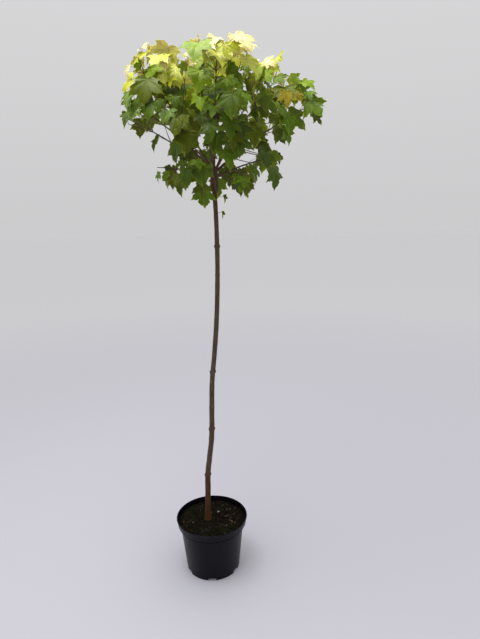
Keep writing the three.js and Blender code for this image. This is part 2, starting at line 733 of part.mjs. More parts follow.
const trunkGrown = makeTrunk(CLEARANCE);
addNode("pot", makePot(), materials.pot);
addNode("compost", makeCompost(), materials.compost);
addNode("trunk", makeTrunk(), materials.bark);
SHOOTS.forEach((shoot) => {
  addNode("bough_" + shoot.name, makeBough(shoot, trunkGrown), materials.bark);
  addNode("leaves_" + shoot.name, mainBody(wasm.Manifold.union(growShoot(shoot))), materials.foliage);
});
for (const sprout of SPROUTS) {
  const leaf = sproutLeaf(sprout);
  const solid = bladeSolid(leaf).add(stalkSolid(leaf)).subtract(trunkGrown);
  addNode(sprout.name, mainBody(solid), materials.foliage);
}

export default plant;
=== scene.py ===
# Looks for the potted standard maple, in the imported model's frame: bark on the trunk and boughs, a
# crown of lobed leaves grown by the same seeded rule as the solids and carried on to finer twigs,
# the nursery pot, and the compost with its moss, bark chips and stones.
# Sizes are millimetres here and become metres when a mesh is made. A noise is given by its features
# a metre, its detail and its stretch, and a bump by its strength and its depth in metres.
import math

import bmesh
import bpy
import numpy as np
from mathutils import Matrix, Vector, noise


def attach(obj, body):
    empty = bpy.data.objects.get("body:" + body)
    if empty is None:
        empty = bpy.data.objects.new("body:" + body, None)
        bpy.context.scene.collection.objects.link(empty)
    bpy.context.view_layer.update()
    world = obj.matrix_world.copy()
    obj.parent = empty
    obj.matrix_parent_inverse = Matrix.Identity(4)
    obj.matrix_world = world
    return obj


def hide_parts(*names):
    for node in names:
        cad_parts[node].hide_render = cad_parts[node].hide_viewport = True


MM = 0.001

# Camera: worked out from the pot's rim, which shows as an ellipse
CAMERA_PLACE = (110.4, -1510, 1184)
CAMERA_PITCH = 11.8  # degrees below the horizon
CAMERA_ROLL = 1.2
CAMERA_LENS = 27.6
CAMERA_FAR = 50

# Pot
POT_HEIGHT = 186
POT_RIM_RADIUS = 120
POT_COLLAR_FOOT_RADIUS = 116
POT_LEDGE = 163
POT_NECK_RADIUS = 107
POT_FOOT_RADIUS = 90
POT_LIP = 3.2
POT_WALL = 1.8
POT_FLOOR = 2.4
POT_FOOT_EDGE = 2
POT_LEDGE_RISE = 3
POT_RIM_EDGE = 0.9  # the slant along the rim's top corners
POT_INSIDE_EDGE = 0.6
POT_BEND = 0.7  # how far each corner of the pot is rounded
BEND_STEPS = 4
BEND_MOST = 0.45  # of the distance to the next corner
POT_SHARP = 40  # degrees, over which an edge still looks sharp
POT_SIDES = 144
DRAIN_SLOTS = 6
DRAIN_SLOT_WIDTH = 28
DRAIN_SLOT_HEIGHT = 12.4
DRAIN_SLOT_INSIDE = 12
DRAIN_SLOT_OUTSIDE = 20
# The right half of a slot from its foot to its top, in its own width and height
DRAIN_ARCH = [(0.5, -1), (0.5, 0.6), (0.36, 0.88), (0.15, 1)]
POT_COLORS = [(0.0016, 0.0016, 0.0036), (0.002, 0.002, 0.0045), (0.006, 0.0065, 0.01)]
POT_STOPS = (0.35, 0.6, 0.85)
POT_HAZE = (22, 4.0)
POT_SCUFFS = (140, 6.0, (1, 1, 0.25))
POT_ROUGHNESS = 0.34
POT_ROUGHNESS_RANGE = (0.26, 0.48)
POT_BUMP = (0.12, 0.0006)
POT_SHEEN = {"Specular_IOR_Level": 0.14, "Specular_Tint": (0.85, 0.87, 1, 1)}
COMPOST_TOP = 170

# Trunk: [height, sideways, depth] of its middle line
TRUNK_LINE = [
    [170.3, -14, 0],
    [261, -11, 2],
    [339, -8.5, 4],
    [400, -1, 3],
    [473, 8.5, 1],
    [580, 12.5, -2],
    [667, 16.5, -3],
    [764, 27, -1],
    [875, 37, 2],
    [1007, 43.5, 4],
    [1100, 45, 3],
    [1190, 44.5, 1],
    [1265, 42.5, 0],
    [1334, 43, 0],
]
TRUNK_FOOT_RADIUS = 10.5
TRUNK_TOP_RADIUS = 6.6
TRUNK_TAPER = 0.55
ROOT_FLARE = 3.4
ROOT_FLARE_HEIGHT = 26
BUD_HEIGHTS = [336, 468, 503, 578, 700, 1010, 1098, 1215]
BUD_FIRST_ANGLE = 14
HEAD_LOW = 1262
HEAD_HIGH = 1334
HEAD_RADIUS = 11.5
HEAD_SHOULDER = 14

# Crown
CROWN_AXIS = (72, 0)
APEX = np.array([43.0, 0.0, 1320.0])
CROWN_BOTTOM = 1205
CROWN_TOP = 1692
CROWN_OUTLINE = [
    [1205, 62],
    [1240, 120],
    [1265, 190],
    [1385, 214],
    [1425, 280],
    [1470, 308],
    [1520, 309],
    [1560, 300],
    [1600, 272],
    [1650, 226],
    [1675, 170],
    [1692, 110],
]
SPACE_MARGIN = 1.5

# Shoots: name, azimuth, tilt, tilt of their space, length, height on the head, seed
SHOOTS = [
    ("leader", 25, 9, 4, 350, 1326, 5472),
    ("top_front", -80, 34, 34, 340, 1313, 12081),
    ("top_left", -165, 34, 34, 350, 1313, 15762),
    ("top_back", 108, 34, 34, 340, 1313, 13219),
    ("top_right", 12, 37, 35, 340, 1313, 8916),
    ("right", -14, 60, 62, 320, 1314, 5877),
    ("right_front", -72, 62, 62, 280, 1310, 4470),
    ("left_front", -128, 61, 62, 290, 1316, 9111),
    ("left", 172, 60, 62, 300, 1312, 5528),
    ("left_back", 112, 62, 62, 280, 1309, 15689),
    ("right_back", 48, 61, 62, 295, 1310, 7018),
    ("low_right", -32, 80, 100, 200, 1300, 5211),
    ("low_front", -112, 80, 100, 150, 1296, 12460),
    ("low_left", 168, 79, 100, 185, 1302, 4285),
    ("low_back", 66, 80, 100, 165, 1298, 13454),
]
SHOOT_ARCH = 7
AZIMUTH_JITTER = 6
TILT_JITTER = 3
BOUGH_SHARE = 0.26
BOUGH_FOOT_RADIUS = 3.6
STEM_FOOT_RADIUS = 2.5

# Leaves and twigs
NODE_SPACING = 31
LEAF_LARGE = 70
LEAF_SMALL = 52
LEAF_YOUNG = 34
FIRST_NODE = 12
NODE_SHIFT = 0.15
PAIR_TURN = math.pi / 2
TWIG_SPREAD = 54
TWIG_RISE = 0.2
TWIG_LONGEST = 0.62
TWIG_SHORTEST = 0.3
TWIG_VARIES = (0.85, 1.1)
TWIG_BARE = 0.4
TWIG_TURN = 0.8
MOST_LEAVES = 20
TRIES = 16
STALK_SPREAD = (48, 66)
STALK_SPREAD_HUGGING = 16
STALK_LENGTH = (0.75, 1.2)
STALK_RISE = (0, 0.25)
BLADE_OUTWARD = 0.7
BLADE_TURN = 30
BLADE_FALL = 16
BLADE_ROLL = 26
BLADE_CUP = (0.05, 0.3)
BLADE_FOLD = (-0.04, 0.22)
HUGGING_SIZE = 0.8
HUGGING_SWING = 1.1
DROOP_LOW = 74
DROOP_HIGH = 20
DROOP_FROM = 1260
DROOP_YOUNG = 58
PLAN_KEY = 11
GROW_KEY = 7
TIP_KEY = 99
HALVINGS = 40  # of the trunk's line, to find its middle at a height
STEM_GAP = 0.15  # from the end of a bough's share to the start of its stem
STEM_PIECES = 6
STALK_TESTED = (0.1, 0.97)  # the part of a stalk that has to keep clear of the leaves
TWIG_TESTED = (0.6, 0.8, 1)
TWIG_END = 0.995
# The plain outline of a leaf in the solids, round its foot at (0, 0), in leaf lengths
OUTLINE = [
    (0, 1),
    (0.24, 0.58),
    (0.66, 0.62),
    (0.48, 0.24),
    (0.5, -0.1),
    (-0.5, -0.1),
    (-0.48, 0.24),
    (-0.66, 0.62),
    (-0.24, 0.58),
]
# Steps along a limb, and the margin round it that leaves keep clear of
TRUNK_GUARD = (26, 2)
BOUGH_GUARD = (3, 1)
# Lone leaves under the crown: name, height, azimuth, stalk, size, face, droop
SPROUTS = [
    ("lone_leaf_left", 1262, -172, 32, 56, -118, 82),
    ("lone_leaf_right", 1240, -14, 27, 22, -50, 66),
    ("lone_leaf_low", 1196, -20, 20, 21, -60, 76),
]
SPROUT_TILT = 78
SPROUT_CUP = 0.12
SPROUT_FOLD = 0.1
SPROUT_LOOK = 99

# Tints of the leaves: name, upper side, veins, underside
# Deep and dark also paint the shade inside the crown, and bright and the creamy yellow paint the light and
# whitish sheen on its top leaves
TINTS = [
    ("deep", (0.034, 0.059, 0.002), (0.09, 0.13, 0.018), (0.06, 0.088, 0.008)),
    ("dark", (0.058, 0.1, 0.003), (0.14, 0.2, 0.022), (0.095, 0.138, 0.012)),
    ("green", (0.095, 0.165, 0.005), (0.21, 0.29, 0.026), (0.14, 0.205, 0.016)),
    ("fresh", (0.18, 0.275, 0.007), (0.34, 0.43, 0.035), (0.25, 0.33, 0.02)),
    ("bright", (0.43, 0.45, 0.018), (0.62, 0.62, 0.1), (0.49, 0.5, 0.04)),
    ("yellow", (0.76, 0.66, 0.29), (0.84, 0.76, 0.42), (0.76, 0.67, 0.28)),
    ("olive", (0.085, 0.112, 0.003), (0.17, 0.2, 0.02), (0.13, 0.15, 0.01)),
    ("bronze", (0.28, 0.24, 0.012), (0.46, 0.26, 0.08), (0.3, 0.25, 0.016)),
]
TINT_NAMES = [row[0] for row in TINTS]
# Where between deep and yellow each of the first six tints gives way to the next one
TINT_LIMITS = [0.16, 0.34, 0.52, 0.66, 0.84]
# Where between deep and yellow a leaf lies: [height, place]; the outer leaves are a little lighter. This
# grading is painted light and shade: lighter towards the lit top and outside, deeper inside the crown where
# it shades itself
TINT_HEIGHTS = [
    [1200, 0.46],
    [1300, 0.36],
    [1380, 0.25],
    [1450, 0.27],
    [1510, 0.41],
    [1570, 0.63],
    [1620, 0.86],
    [1680, 1.1],
]
TINT_OUTWARD = 0.16
TINT_OUTWARD_FROM = 0.6
TINT_REACH = 290
TINT_VARIES = 0.17
# Some of the greener leaves are olive, a painted stand-in for leaves lit through from behind, given out at
# random
OLIVE_BELOW = 0.5
OLIVE_SHARE = 0.22
# Where the youngest leaves are bronze: x, y, z, reach
BRONZE_PLACES = [
    (237, -130, 1490, 62),
    (15, -115, 1604, 34),
    (60, 190, 1520, 50),
]
SIDE_VEIN_SLANT = 1.1
SIDE_VEIN_SPACING = 0.085
SIDE_VEIN_WIDTH = 0.07
SIDE_VEIN_SHOWS = 0.45
LOOK_KEY = 43
# A leaf is thin, so some of the light on its upper side comes through it
LEAF_SHEEN = {
    "Subsurface_Weight": 0.7,
    "Subsurface_Radius": (1.0, 1.1, 0.3),
    "Subsurface_Scale": 0.0006,
}
LEAF_GLOSS = {"fresh": 0.2, "bright": 0.4, "yellow": 0.45}  # the glossier the younger
LEAF_GLOSS_ELSE = 0.13
LEAF_MOTTLE = (55, 2.0)
LEAF_STOPS = (0.3, 0.5, 0.72)
LEAF_SHADES = (0.8, 1, 1.22)
LEAF_GRAIN = (900, 2.0)
LEAF_GRAIN_RELIEF = 0.3
LEAF_SMOOTHER = 0.06
LEAF_ROUGHER = 0.1
LEAF_BUMP = (0.35, 0.0006)
# Sides of a leaf: name, roughness, and whether fine side veins show on it
LEAF_PARTS = [("leaf", 0.36, True), ("vein", 0.5, False), ("underside", 0.6, True)]

# Blade: its edge from the notch at its foot round by the right to its tip, in leaf lengths, each
# point with the part of the blade that it belongs to
LEAF_EDGE = [
    (0.0, -0.03, "foot"),
    (0.05, -0.1, "foot"),
    (0.14, -0.17, "low"),
    (0.26, -0.17, "low"),
    (0.36, -0.12, "low"),
    (0.45, -0.11, "low"),
    (0.6, 0.0, "low_tip"),
    (0.51, 0.07, "low"),
    (0.46, 0.16, "low_gap"),
    (0.5, 0.25, "low_gap"),
    (0.62, 0.33, "side"),
    (0.6, 0.41, "side"),
    (0.72, 0.6, "side_tip"),
    (0.55, 0.56, "side"),
    (0.46, 0.6, "side"),
    (0.36, 0.57, "side"),
    (0.26, 0.5, "gap"),
    (0.25, 0.6, "middle"),
    (0.28, 0.7, "middle"),
    (0.21, 0.76, "middle"),
    (0.15, 0.85, "middle"),
    (0.07, 0.89, "middle"),
    (0.0, 1.02, "tip"),
]
LEAF_RINGS = np.array([0.2, 0.42, 0.62, 0.8, 0.93, 0.98, 1.0])  # shares of the way to the edge
LEAF_THICKNESS = 0.4
THIN_EDGE = 16  # the higher, the nearer to its edge a blade keeps its thickness
VEIN_WIDTH = 0.007  # half a main vein at its foot, in leaf lengths, thinning to the lobe's tip
VEIN_TIP_WIDTH = 0.002
PILLOW = 0.022  # how far the blade bulges up between its veins, in leaf lengths
PILLOW_WIDTH = 0.05
LOBE_VARIES = {"low": (0.78, 1.08), "side": (0.84, 1.04), "gap": (0.86, 1.22), "low_gap": (0.86, 1.16)}
MIDDLE_VARIES = (0.85, 1.2)
YOUNG_LOBES = {"middle": 0.84, "gap": 0.8, "low_gap": 0.9, "low": 0.86}  # narrower in young leaves
MARGIN_WAVE = 0.035
MARGIN_WAVES = (5, 11)  # round the whole blade
MARGIN_PHASE = (0, 6.3)
TIP_DROOP = (0.1, 0.45)
TIP_DROOP_FROM = 0.5
TWIST = (0.2, 0.45)  # how far a blade's outer corners turn up and down, either way round
STALK_FOOT_RADIUS = 1.0
STALK_RADIUS = 0.62
THINNEST_STALK = 0.85  # a small leaf's stalk beside a large leaf's
STALK_BEND = 0.55  # share of the stalk's length at which it bends
STALK_ARCH = 0.05
STALK_FLARE = 6  # the higher, the shorter the thick foot
STALK_SIDES = 5
STALK_RINGS = 7
TUBE_TIP = 0.6  # how far the point of a tube's end stands out, in its radius

# Finer twigs than the solids have, with small leaves where there is room for them
FINER_KEY = 31
FINER_LENGTH = (16, 40)
FINER_LEAF = (26, 42)
MOST_FINER = 24
FINER_SIDES = 4  # round each node that is over FINER_HIGH
FINER_HIGH = 1480
FINER_SPREAD = (20, 60)
FINER_DROOP = 0.8  # beside the larger leaves
FINER_HUG = 0.3
FINER_ROLL = (20, 50)
FINER_TWIG = (1.2, 0.9, 5)  # radius at its foot and tip, and the step along it
FINER_ARCH = 1.5
FINER_LOOK = 100
# Whorls of young leaves, each hanging from a short twig that ends at a place
WHORLS = [(237, -130, 1503), (-30, -205, 1535), (60, 190, 1520)]
WHORL_KEY = 37
WHORL_LEAVES = 5
WHORL_LEAF = (40, 54)
WHORL_STALK = (8, 14)
WHORL_TILT = (80, 115)
WHORL_DROOP = (45, 72)
WHORL_TURN = 24
WHORL_CUP = 0.2
WHORL_FOLD = 0.1
WHORL_LOOK = 200
# Openings through the crown along the camera's line of sight: x, z and reach where they cross the
# plant's middle; a leaf is left out where the point at this share of its length lies in one
OPENING_SHARE = 0.4
OPENINGS = [
    (240, 1380, 30), (-105, 1445, 26), (140, 1370, 24), (200, 1440, 26), (150, 1490, 24), (-90, 1395, 20),
    (275, 1505, 22), (205, 1530, 18), (320, 1460, 26), (250, 1595, 30), (-190, 1455, 18), (260, 1340, 18),
]
# The smallest leaves on the trunk are folded along their midrib, which makes them this narrow
FOLDED = 0.42

# A blade that would stand edge on to the front is rolled about its midrib, towards the light
EDGE_ON = 0.34  # 0 for a blade seen exactly edge on, 1 for one that faces the front
EDGE_ROLL = 28

# Twigs
TWIG_BARKS = [
    ("stem_bark", ((0.075, 0.045, 0.028), (0.04, 0.026, 0.018), (0.13, 0.085, 0.052))),
    ("twig_bark", ((0.1, 0.068, 0.03), (0.055, 0.04, 0.018), (0.15, 0.11, 0.055))),
    ("leaf_stalk", ((0.2, 0.11, 0.05), (0.13, 0.085, 0.03), (0.3, 0.15, 0.09))),
]
TWIG_KINDS = ["stem", "twig", "stalk"]
TWIG_BARK = (0.5, 900)  # roughness, and streaks a metre
FEWEST_PIECES = 4
STEM_STEP = 5
STEM_SIDES = 10
STEM_TIP_LOOK_RADIUS = 1.1
NODE_SWELL = 0.7
NODE_SWELL_LENGTH = 2.4
TWIG_LOOK = (1.5, 0.95, 7)  # radius at its foot and tip, and the step along it
TWIG_SIDES = 7

# Bark: colour, dark streaks, light streaks
BARK_OLD = ((0.058, 0.024, 0.008), (0.026, 0.011, 0.004), (0.115, 0.052, 0.018))
BARK_YOUNG = ((0.07, 0.047, 0.026), (0.034, 0.024, 0.014), (0.125, 0.088, 0.052))
BARK_HEAD = ((0.085, 0.045, 0.026), (0.04, 0.022, 0.013), (0.15, 0.085, 0.055))
BARK_STREAKS = (5.0, (1, 1, 0.12))  # each kind of bark has its own features a metre
BARK_STOPS = (0.32, 0.52, 0.74)
BARK_PORES = (2.0, (1, 1, 0.5))
BARK_PORES_FINER = 1.6  # than the streaks
BARK_PORE_SPOTS = (0.66, 0.7, 0.6)  # where in the noise they begin and are full, and how much
BARK_PORE_SHADE = 1.4
BARK_GRAIN = (6.0, (1, 1, 0.35))
BARK_GRAIN_FINER = 5
BARK_ROUGHNESS_VARIES = 0.1
BARK_GLOSS = 0.2
BARK_BUMP = (0.5, 0.0009)
BOUGH_BARK = (0.6, 500)  # roughness, and streaks a metre
TRUNK_STREAKS = 420
TRUNK_GRAIN = 2000
TRUNK_ROUGHNESS = 0.6
TRUNK_ROUGHNESS_RANGE = (0.48, 0.7)
TRUNK_BUMP = (0.55, 0.0009)
# Metres above the floor from and to which old wood changes to young, and young to the head's
YOUNG_WOOD = (0.335, 0.385)
HEAD_WOOD = (1.2, 1.29)
WOOD_WAVER = 0.05
WOOD_WAVES = (90, 4.0)
TRUNK_SIDES = 28
TRUNK_STEP = 3
TRUNK_BELOW = 4
BARK_RELIEF = 0.45
BARK_FRACTAL = (1.0, 2.0, 4)  # how fast finer bumps fade, how much finer each is, how many
BARK_RIDGES = 1.4  # how close the ridges lie round the trunk
BARK_RIDGE_SCALE = 0.03
BUD_LENGTH = 4.2
BUD_WIDTH = 0.34
BUD_KNOB = 2.5
BUD_RING = 0.5
HEAD_KNOBS = 2.2
HEAD_KNOBS_ROUND = 1.1
HEAD_KNOB_SCALE = 0.055
HEAD_DOME = 9
HEAD_DOME_SHARE = 0.85
DOME_RELIEF = 1.6  # how much relief is left where the head's dome narrows
TRUNK_TIP = 0.3
BOUGH_STEP = 2.5
BOUGH_SIDES = 14
BOUGH_RELIEF = 0.35
BOUGH_RELIEF_SCALE = 0.35
BOUGH_SHIFTS = 97
BOUGH_SCAR = 0.5  # the ring scar between two years' growth
BOUGH_SCAR_AT = 34
BOUGH_SCAR_LENGTH = 2.5

# Compost and what lies on it
COMPOST_RINGS = 56
COMPOST_SIDES = 180
COMPOST_SKIRT = 12
COMPOST_CLEAR = 0.4
COMPOST_HUMPS = 2.2
HUMP_SCALE = 0.02
HUMP_LAYER = 3.1
HUMP_FRACTAL = (1.0, 2.0, 3)
COMPOST_CRUMBS = 1.3
CRUMB_SCALE = 0.14
CRUMB_LAYER = 7.7
CRUMB_FRACTAL = (0.8, 2.0, 3)
COMPOST_MOUND = 3
COMPOST_MOUND_REACH = 30
COMPOST_EDGE = 2.5
COMPOST_EDGE_FROM = 85
COMPOST_EDGE_WIDTH = 30
LUMP_DENTS = [(0.9, 0.45), (2.7, 0.2)]  # how close together and how deep
LUMP_SHIFT = (0, 99)
PEAT_COLORS = [(0.002, 0.0014, 0.0006), (0.0045, 0.0034, 0.0014), (0.026, 0.019, 0.009)]
PEAT_STOPS = (0.3, 0.5, 0.75)
PEAT_ROUGHNESS = 0.95
PEAT_GLOSS = 0.05
PEAT_CRUMBS = (260, 8.0)
PEAT_PATCHES = (26, 3.0)
PEAT_PATCH_SPOTS = (0.5, 0.64, 0.55)  # as the pores of the bark
PEAT_GREEN = (0.008, 0.0095, 0.003)
PEAT_BUMP = (0.9, 0.003)
LITTER_KEY = 71
LITTER_GRAIN = (520, 6.0)
LITTER_STOPS = (0.3, 0.52, 0.75)
LITTER_SHADES = (0.6, 1, 1.45)
LITTER_ROUGHNESS_VARIES = 0.08
LITTER_GLOSS = 0.12
LITTER_BUMP = (0.6, 0.0009)
CLOD_REACH = 109
CLODS = 900
CLOD_SIZE = (1.2, 3.6)
CLOD_FLAT = 0.65
CLOD_SMALL = 2.5  # under this size a clod has fewer faces
CLOD_LIFT = 0.1
CLOD_DARK_SHARE = 0.75
CLOD_COLORS = [("clod_dark", (0.0035, 0.0026, 0.001), 0.95), ("clod_brown", (0.011, 0.007, 0.003), 0.9)]
STONE_COLORS = [("stone_white", (0.2, 0.21, 0.2), 0.75), ("stone_grey", (0.06, 0.06, 0.058), 0.75)]
# Each stone: x, y, size, colour
STONES = [(20, 37, 4.4, 0), (-63, -20, 3.2, 1), (60, 54, 2.4, 1), (32, 76, 2.0, 1), (-30, -64, 2.2, 1)]
STONE_FLAT = 0.7
STONE_LIFT = 0.35
GRAINS = 16
GRAIN_SIZE = (0.7, 1.5)
GRAIN_FLAT = 0.8
GRAIN_LIFT = 0.5
CHIPS = 46
CHIP_LENGTH = (4, 12)
# A chip from above, in its own length and width
CHIP_OUTLINE = [
    (-0.5, -0.3),
    (-0.1, -0.5),
    (0.38, -0.42),
    (0.52, 0.02),
    (0.3, 0.44),
    (-0.2, 0.5),
    (-0.52, 0.2),
]
CHIP_WIDTH = (0.3, 0.6)
CHIP_THICKNESS = (0.08, 0.16)
CHIP_THINNEST = 0.8
CHIP_LEAN = 0.35
CHIP_TIP = 0.3
CHIP_GROW = 0.14
CHIP_UNEVEN = (0.7, 1.2)
CHIP_LIFT = 0.3
CHIP_SHARP = 30  # degrees
HEAP_CHIPS = 1.15  # how much longer the chips in heaps are
CHIP_COLORS = [
    ("chip_dark", (0.01, 0.006, 0.003), 0.85),
    ("chip_red", (0.024, 0.011, 0.006), 0.8),
    ("chip_pale", (0.085, 0.055, 0.037), 0.8),
]
# Each heap: x, y, reach, how many, colour
CHIP_HEAPS = [
    (73, 27, 6, 2, 2),
    (70, -14, 5, 2, 2),
    (49, 14, 6, 2, 2),
    (66, 2, 24, 12, 1),
    (84, 4, 12, 5, 0),
    (-78, -13, 9, 5, 1),
    (28, 96, 9, 2, 1),
    (-5, -62, 22, 8, 0),
]
MOSS_COLORS = [("moss_dark", (0.008, 0.0095, 0.0025), 0.9), ("moss_green", (0.019, 0.024, 0.006), 0.9)]
# Each patch: x, y, reach, how many
MOSS_PATCHES = [
    (-63, 50, 44, 1900),
    (-80, 10, 26, 700),
    (56, -52, 34, 1100),
    (-34, -70, 26, 500),
    (10, 78, 36, 600),
]
MOSS_HEIGHT = (1.6, 3.6)
MOSS_SHORTEST = 0.4
MOSS_RADIUS = 0.8
MOSS_SUNK = 0.6
MOSS_LEAN = 0.5
MOSS_CUSHION = 1.2
# Where a noise is lower than this no moss grows
MOSS_BARE = -0.1
MOSS_SCALE = 0.06
# Each fallen twig: x, y, turn, length, radius
STICKS = [(-40, 76, 52, 52, 0.8), (34, -34, 150, 34, 0.7)]
STICK_RINGS = 9
STICK_SIDES = 7
STICK_WAVES = 7
STICK_TAPER = 0.6
STICK_LIFT = 0.4
STICK_COLOR = ("fallen_twig", (0.06, 0.05, 0.033), 0.75)

# Studio
FLOOR_HALF = 30
FLOOR_HEIGHT = -0.0005
FLOOR_ROUGHNESS = 0.75
# Painted light and shade: the floor is darker near the plant and lighter far off, where it meets the
# backdrop
FLOOR_NEAR_SHADED = (0.565, 0.558, 0.612)
FLOOR_FAR_LIT = (0.695, 0.686, 0.705)
FLOOR_REACH = (0.8, 5.5)  # metres from the middle, over which the floor changes from near to far
SKY_LOW = (0.605, 0.598, 0.608)
SKY_HIGH = (0.68, 0.68, 0.69)
SKY_HIGH_FROM = 0.4  # the height of a direction, 1 being straight up, at which the sky is lightest
SUN_STRENGTH = 0.55
SUN_WIDTH = 110  # degrees across
SUN_TURN = (18, -2, 0)
# A soft window high up, in metres and watts
WINDOW_PLACE = (-0.25, -0.3, 2.6)
WINDOW_TARGET = (0.05, 0, 1.5)
WINDOW_SIZE = (1.2, 1.2)
WINDOW_POWER = 25

# Random numbers, made just as the solids' source makes them
RANDOM_RANGE = 2**32
RANDOM_START = 0x9E3779B9
RANDOM_MIXERS = (0x85EBCA6B, 0xC2B2AE35)
RANDOM_FACTOR = 1664525
RANDOM_SHIFT = 1013904223

UP = np.array([0.0, 0.0, 1.0])
RIGHT = np.array([1.0, 0.0, 0.0])
FRONT = np.array([0.0, -1.0, 0.0])
TINY = 1e-12
UPRIGHT = 0.05  # a twig less slanted than this takes its sideways from RIGHT
STEEP = 0.8  # so does a tube that starts steeper than this
BLACK = (0, 0, 0)
WHITE = (1, 1, 1)


def random_from(*keys):
    """A repeatable random source: the same whole-number keys always give the same numbers."""
    state = RANDOM_START
    for key in keys:
        state = (state ^ key) * RANDOM_MIXERS[0] % RANDOM_RANGE
        state = (state ^ (state >> 13)) * RANDOM_MIXERS[1] % RANDOM_RANGE
        state = state ^ (state >> 16)

    def draw():
        nonlocal state
        state = (state * RANDOM_FACTOR + RANDOM_SHIFT) % RANDOM_RANGE
        return state / RANDOM_RANGE

    return draw


def between(draw, low, high):
    return low + (high - low) * draw()


def lerp(a, b, share):
    return a + (b - a) * share


def clamp(value, low=0.0, high=1.0):
    return min(max(value, low), high)


def unit(vector):
    return vector / max(math.sqrt(vector @ vector), TINY)


def cross(a, b):
    return np.array([a[1] * b[2] - a[2] * b[1], a[2] * b[0] - a[0] * b[2], a[0] * b[1] - a[1] * b[0]])


def heading(azimuth, tilt):
    a = math.radians(azimuth)
    t = math.radians(tilt)
    return np.array([math.sin(t) * math.cos(a), math.sin(t) * math.sin(a), math.cos(t)])


def rotated(vector, axis, angle):
    """The vector turned about a unit axis."""
    turned = vector * math.cos(angle) + cross(axis, vector) * math.sin(angle)
    return turned + axis * (axis @ vector) * (1 - math.cos(angle))


def bezier(start, middle, end, t):
    return (1 - t) ** 2 * start + 2 * (1 - t) * t * middle + t * t * end


class Curve:
    """A curve that can be read by share of its length."""

    DIVISIONS = 200
    STEP = 0.0001

    def measure(self):
        self.shares = np.linspace(0, 1, self.DIVISIONS + 1)
        points = np.array([self.point(t) for t in self.shares])
        chords = np.linalg.norm(np.diff(points, axis=0), axis=1)
        self.lengths = np.concatenate([[0], np.cumsum(chords)])
        self.length = self.lengths[-1]

    def share(self, part):
        return float(np.interp(part * self.length, self.lengths, self.shares))

    def point_at(self, part):
        return self.point(self.share(part))

    def tangent_at(self, part):
        t = self.share(part)
        return unit(self.point(clamp(t + self.STEP)) - self.point(clamp(t - self.STEP)))

    def frames(self, steps):
        """Normals and binormals that turn as little as they can along the curve."""
        tangents = [self.tangent_at(i / steps) for i in range(steps + 1)]
        size = np.abs(tangents[0])
        least = size.min()
        start = np.eye(3)[max(i for i in range(3) if size[i] <= least)]
        side = unit(cross(tangents[0], start))
        normals = [cross(tangents[0], side)]
        for before, after in zip(tangents, tangents[1:]):
            axis = cross(before, after)
            normal = normals[-1]
            if math.sqrt(axis @ axis) > TINY:
                normal = rotated(normal, unit(axis), math.acos(clamp(before @ after, -1.0, 1.0)))
            normals.append(normal)
        binormals = [cross(t, n) for t, n in zip(tangents, normals)]
        return tangents, normals, binormals


class Bend(Curve):
    """A quadratic Bezier curve."""

    def __init__(self, start, middle, end):
        self.ends = (start, middle, end)
        self.measure()

    def point(self, t):
        return bezier(*self.ends, t)


class Stretch(Curve):
    """Part of a curve, from one share of its length to another."""

    def __init__(self, whole, low, high):
        self.whole = whole
        self.low = low
        self.high = high
        self.measure()

    def point(self, t):
        return self.whole.point_at(lerp(self.low, self.high, t))


class Spline(Curve):
    """A centripetal Catmull-Rom curve through points."""

    def __init__(self, points):
        self.points = [np.array(p, float) for p in points]
        self.measure()

    def point(self, t):
        last = len(self.points) - 1
        place = last * t
        i = min(int(place), last - 1)
        weight = place - i
        b, c = self.points[i], self.points[i + 1]
        a = self.points[i - 1] if i > 0 else 2 * b - c
        d = self.points[i + 2] if i + 2 <= last else 2 * c - b
        gaps = [float((q - p) @ (q - p)) ** 0.25 for p, q in ((a, b), (b, c), (c, d))]
        start = (b - a) / gaps[0] - (c - a) / (gaps[0] + gaps[1]) + (c - b) / gaps[1]
        end = (c - b) / gaps[1] - (d - b) / (gaps[1] + gaps[2]) + (d - c) / gaps[2]
        start = start * gaps[1]
        end = end * gaps[1]
        square = -3 * b + 3 * c - 2 * start - end
        cube = 2 * b - 2 * c + start + end
        return b + start * weight + square * weight**2 + cube * weight**3


trunk_curve = Spline([(x, y, z) for z, x, y in TRUNK_LINE])


def head_share(height):
    """How far the trunk has swollen into its head at a height, 0 to 1."""
    return clamp((height - HEAD_LOW + HEAD_SHOULDER) / HEAD_SHOULDER)


def trunk_radius(height):
    foot = TRUNK_LINE[0][0]
    share = (height - foot) / (HEAD_HIGH - foot)
    taper = lerp(TRUNK_FOOT_RADIUS, TRUNK_TOP_RADIUS, clamp(share) ** TRUNK_TAPER)
    flare = ROOT_FLARE * math.exp(-(height - foot) / (ROOT_FLARE_HEIGHT / 2))
    return max(taper + flare, head_share(height) * HEAD_RADIUS)


def trunk_middle(height):
    low, high = 0.0, 1.0
    for _ in range(HALVINGS):
        middle = (low + high) / 2
        if trunk_curve.point_at(middle)[2] < height:
            low = middle
        else:
            high = middle
    return trunk_curve.point_at(low)


class Standing:
    """What stands in a space: straight pieces and triangles, in groups with a bounding ball."""

    def __init__(self):
        self.groups = []

    @staticmethod
    def ball(pieces, triangles):
        points = np.concatenate([pieces.reshape(-1, 3), triangles.reshape(-1, 3)])
        centre = (points.min(axis=0) + points.max(axis=0)) / 2
        return centre, math.sqrt(((points - centre) ** 2).sum(axis=1).max())

    def add(self, pieces, triangles):
        pieces = np.asarray(pieces, float).reshape(-1, 2, 3)
        triangles = np.asarray(triangles, float).reshape(-1, 3, 3)
        self.groups.append((pieces, triangles, *self.ball(pieces, triangles)))

    def is_hit_by(self, pieces, triangles):
        centre, radius = self.ball(pieces, triangles)
        near = [g for g in self.groups if np.linalg.norm(g[2] - centre) <= radius + g[3]]
        if not near:
            return False
        if pierces(pieces, np.concatenate([g[1] for g in near])):
            return True
        return pierces(np.concatenate([g[0] for g in near]), triangles)


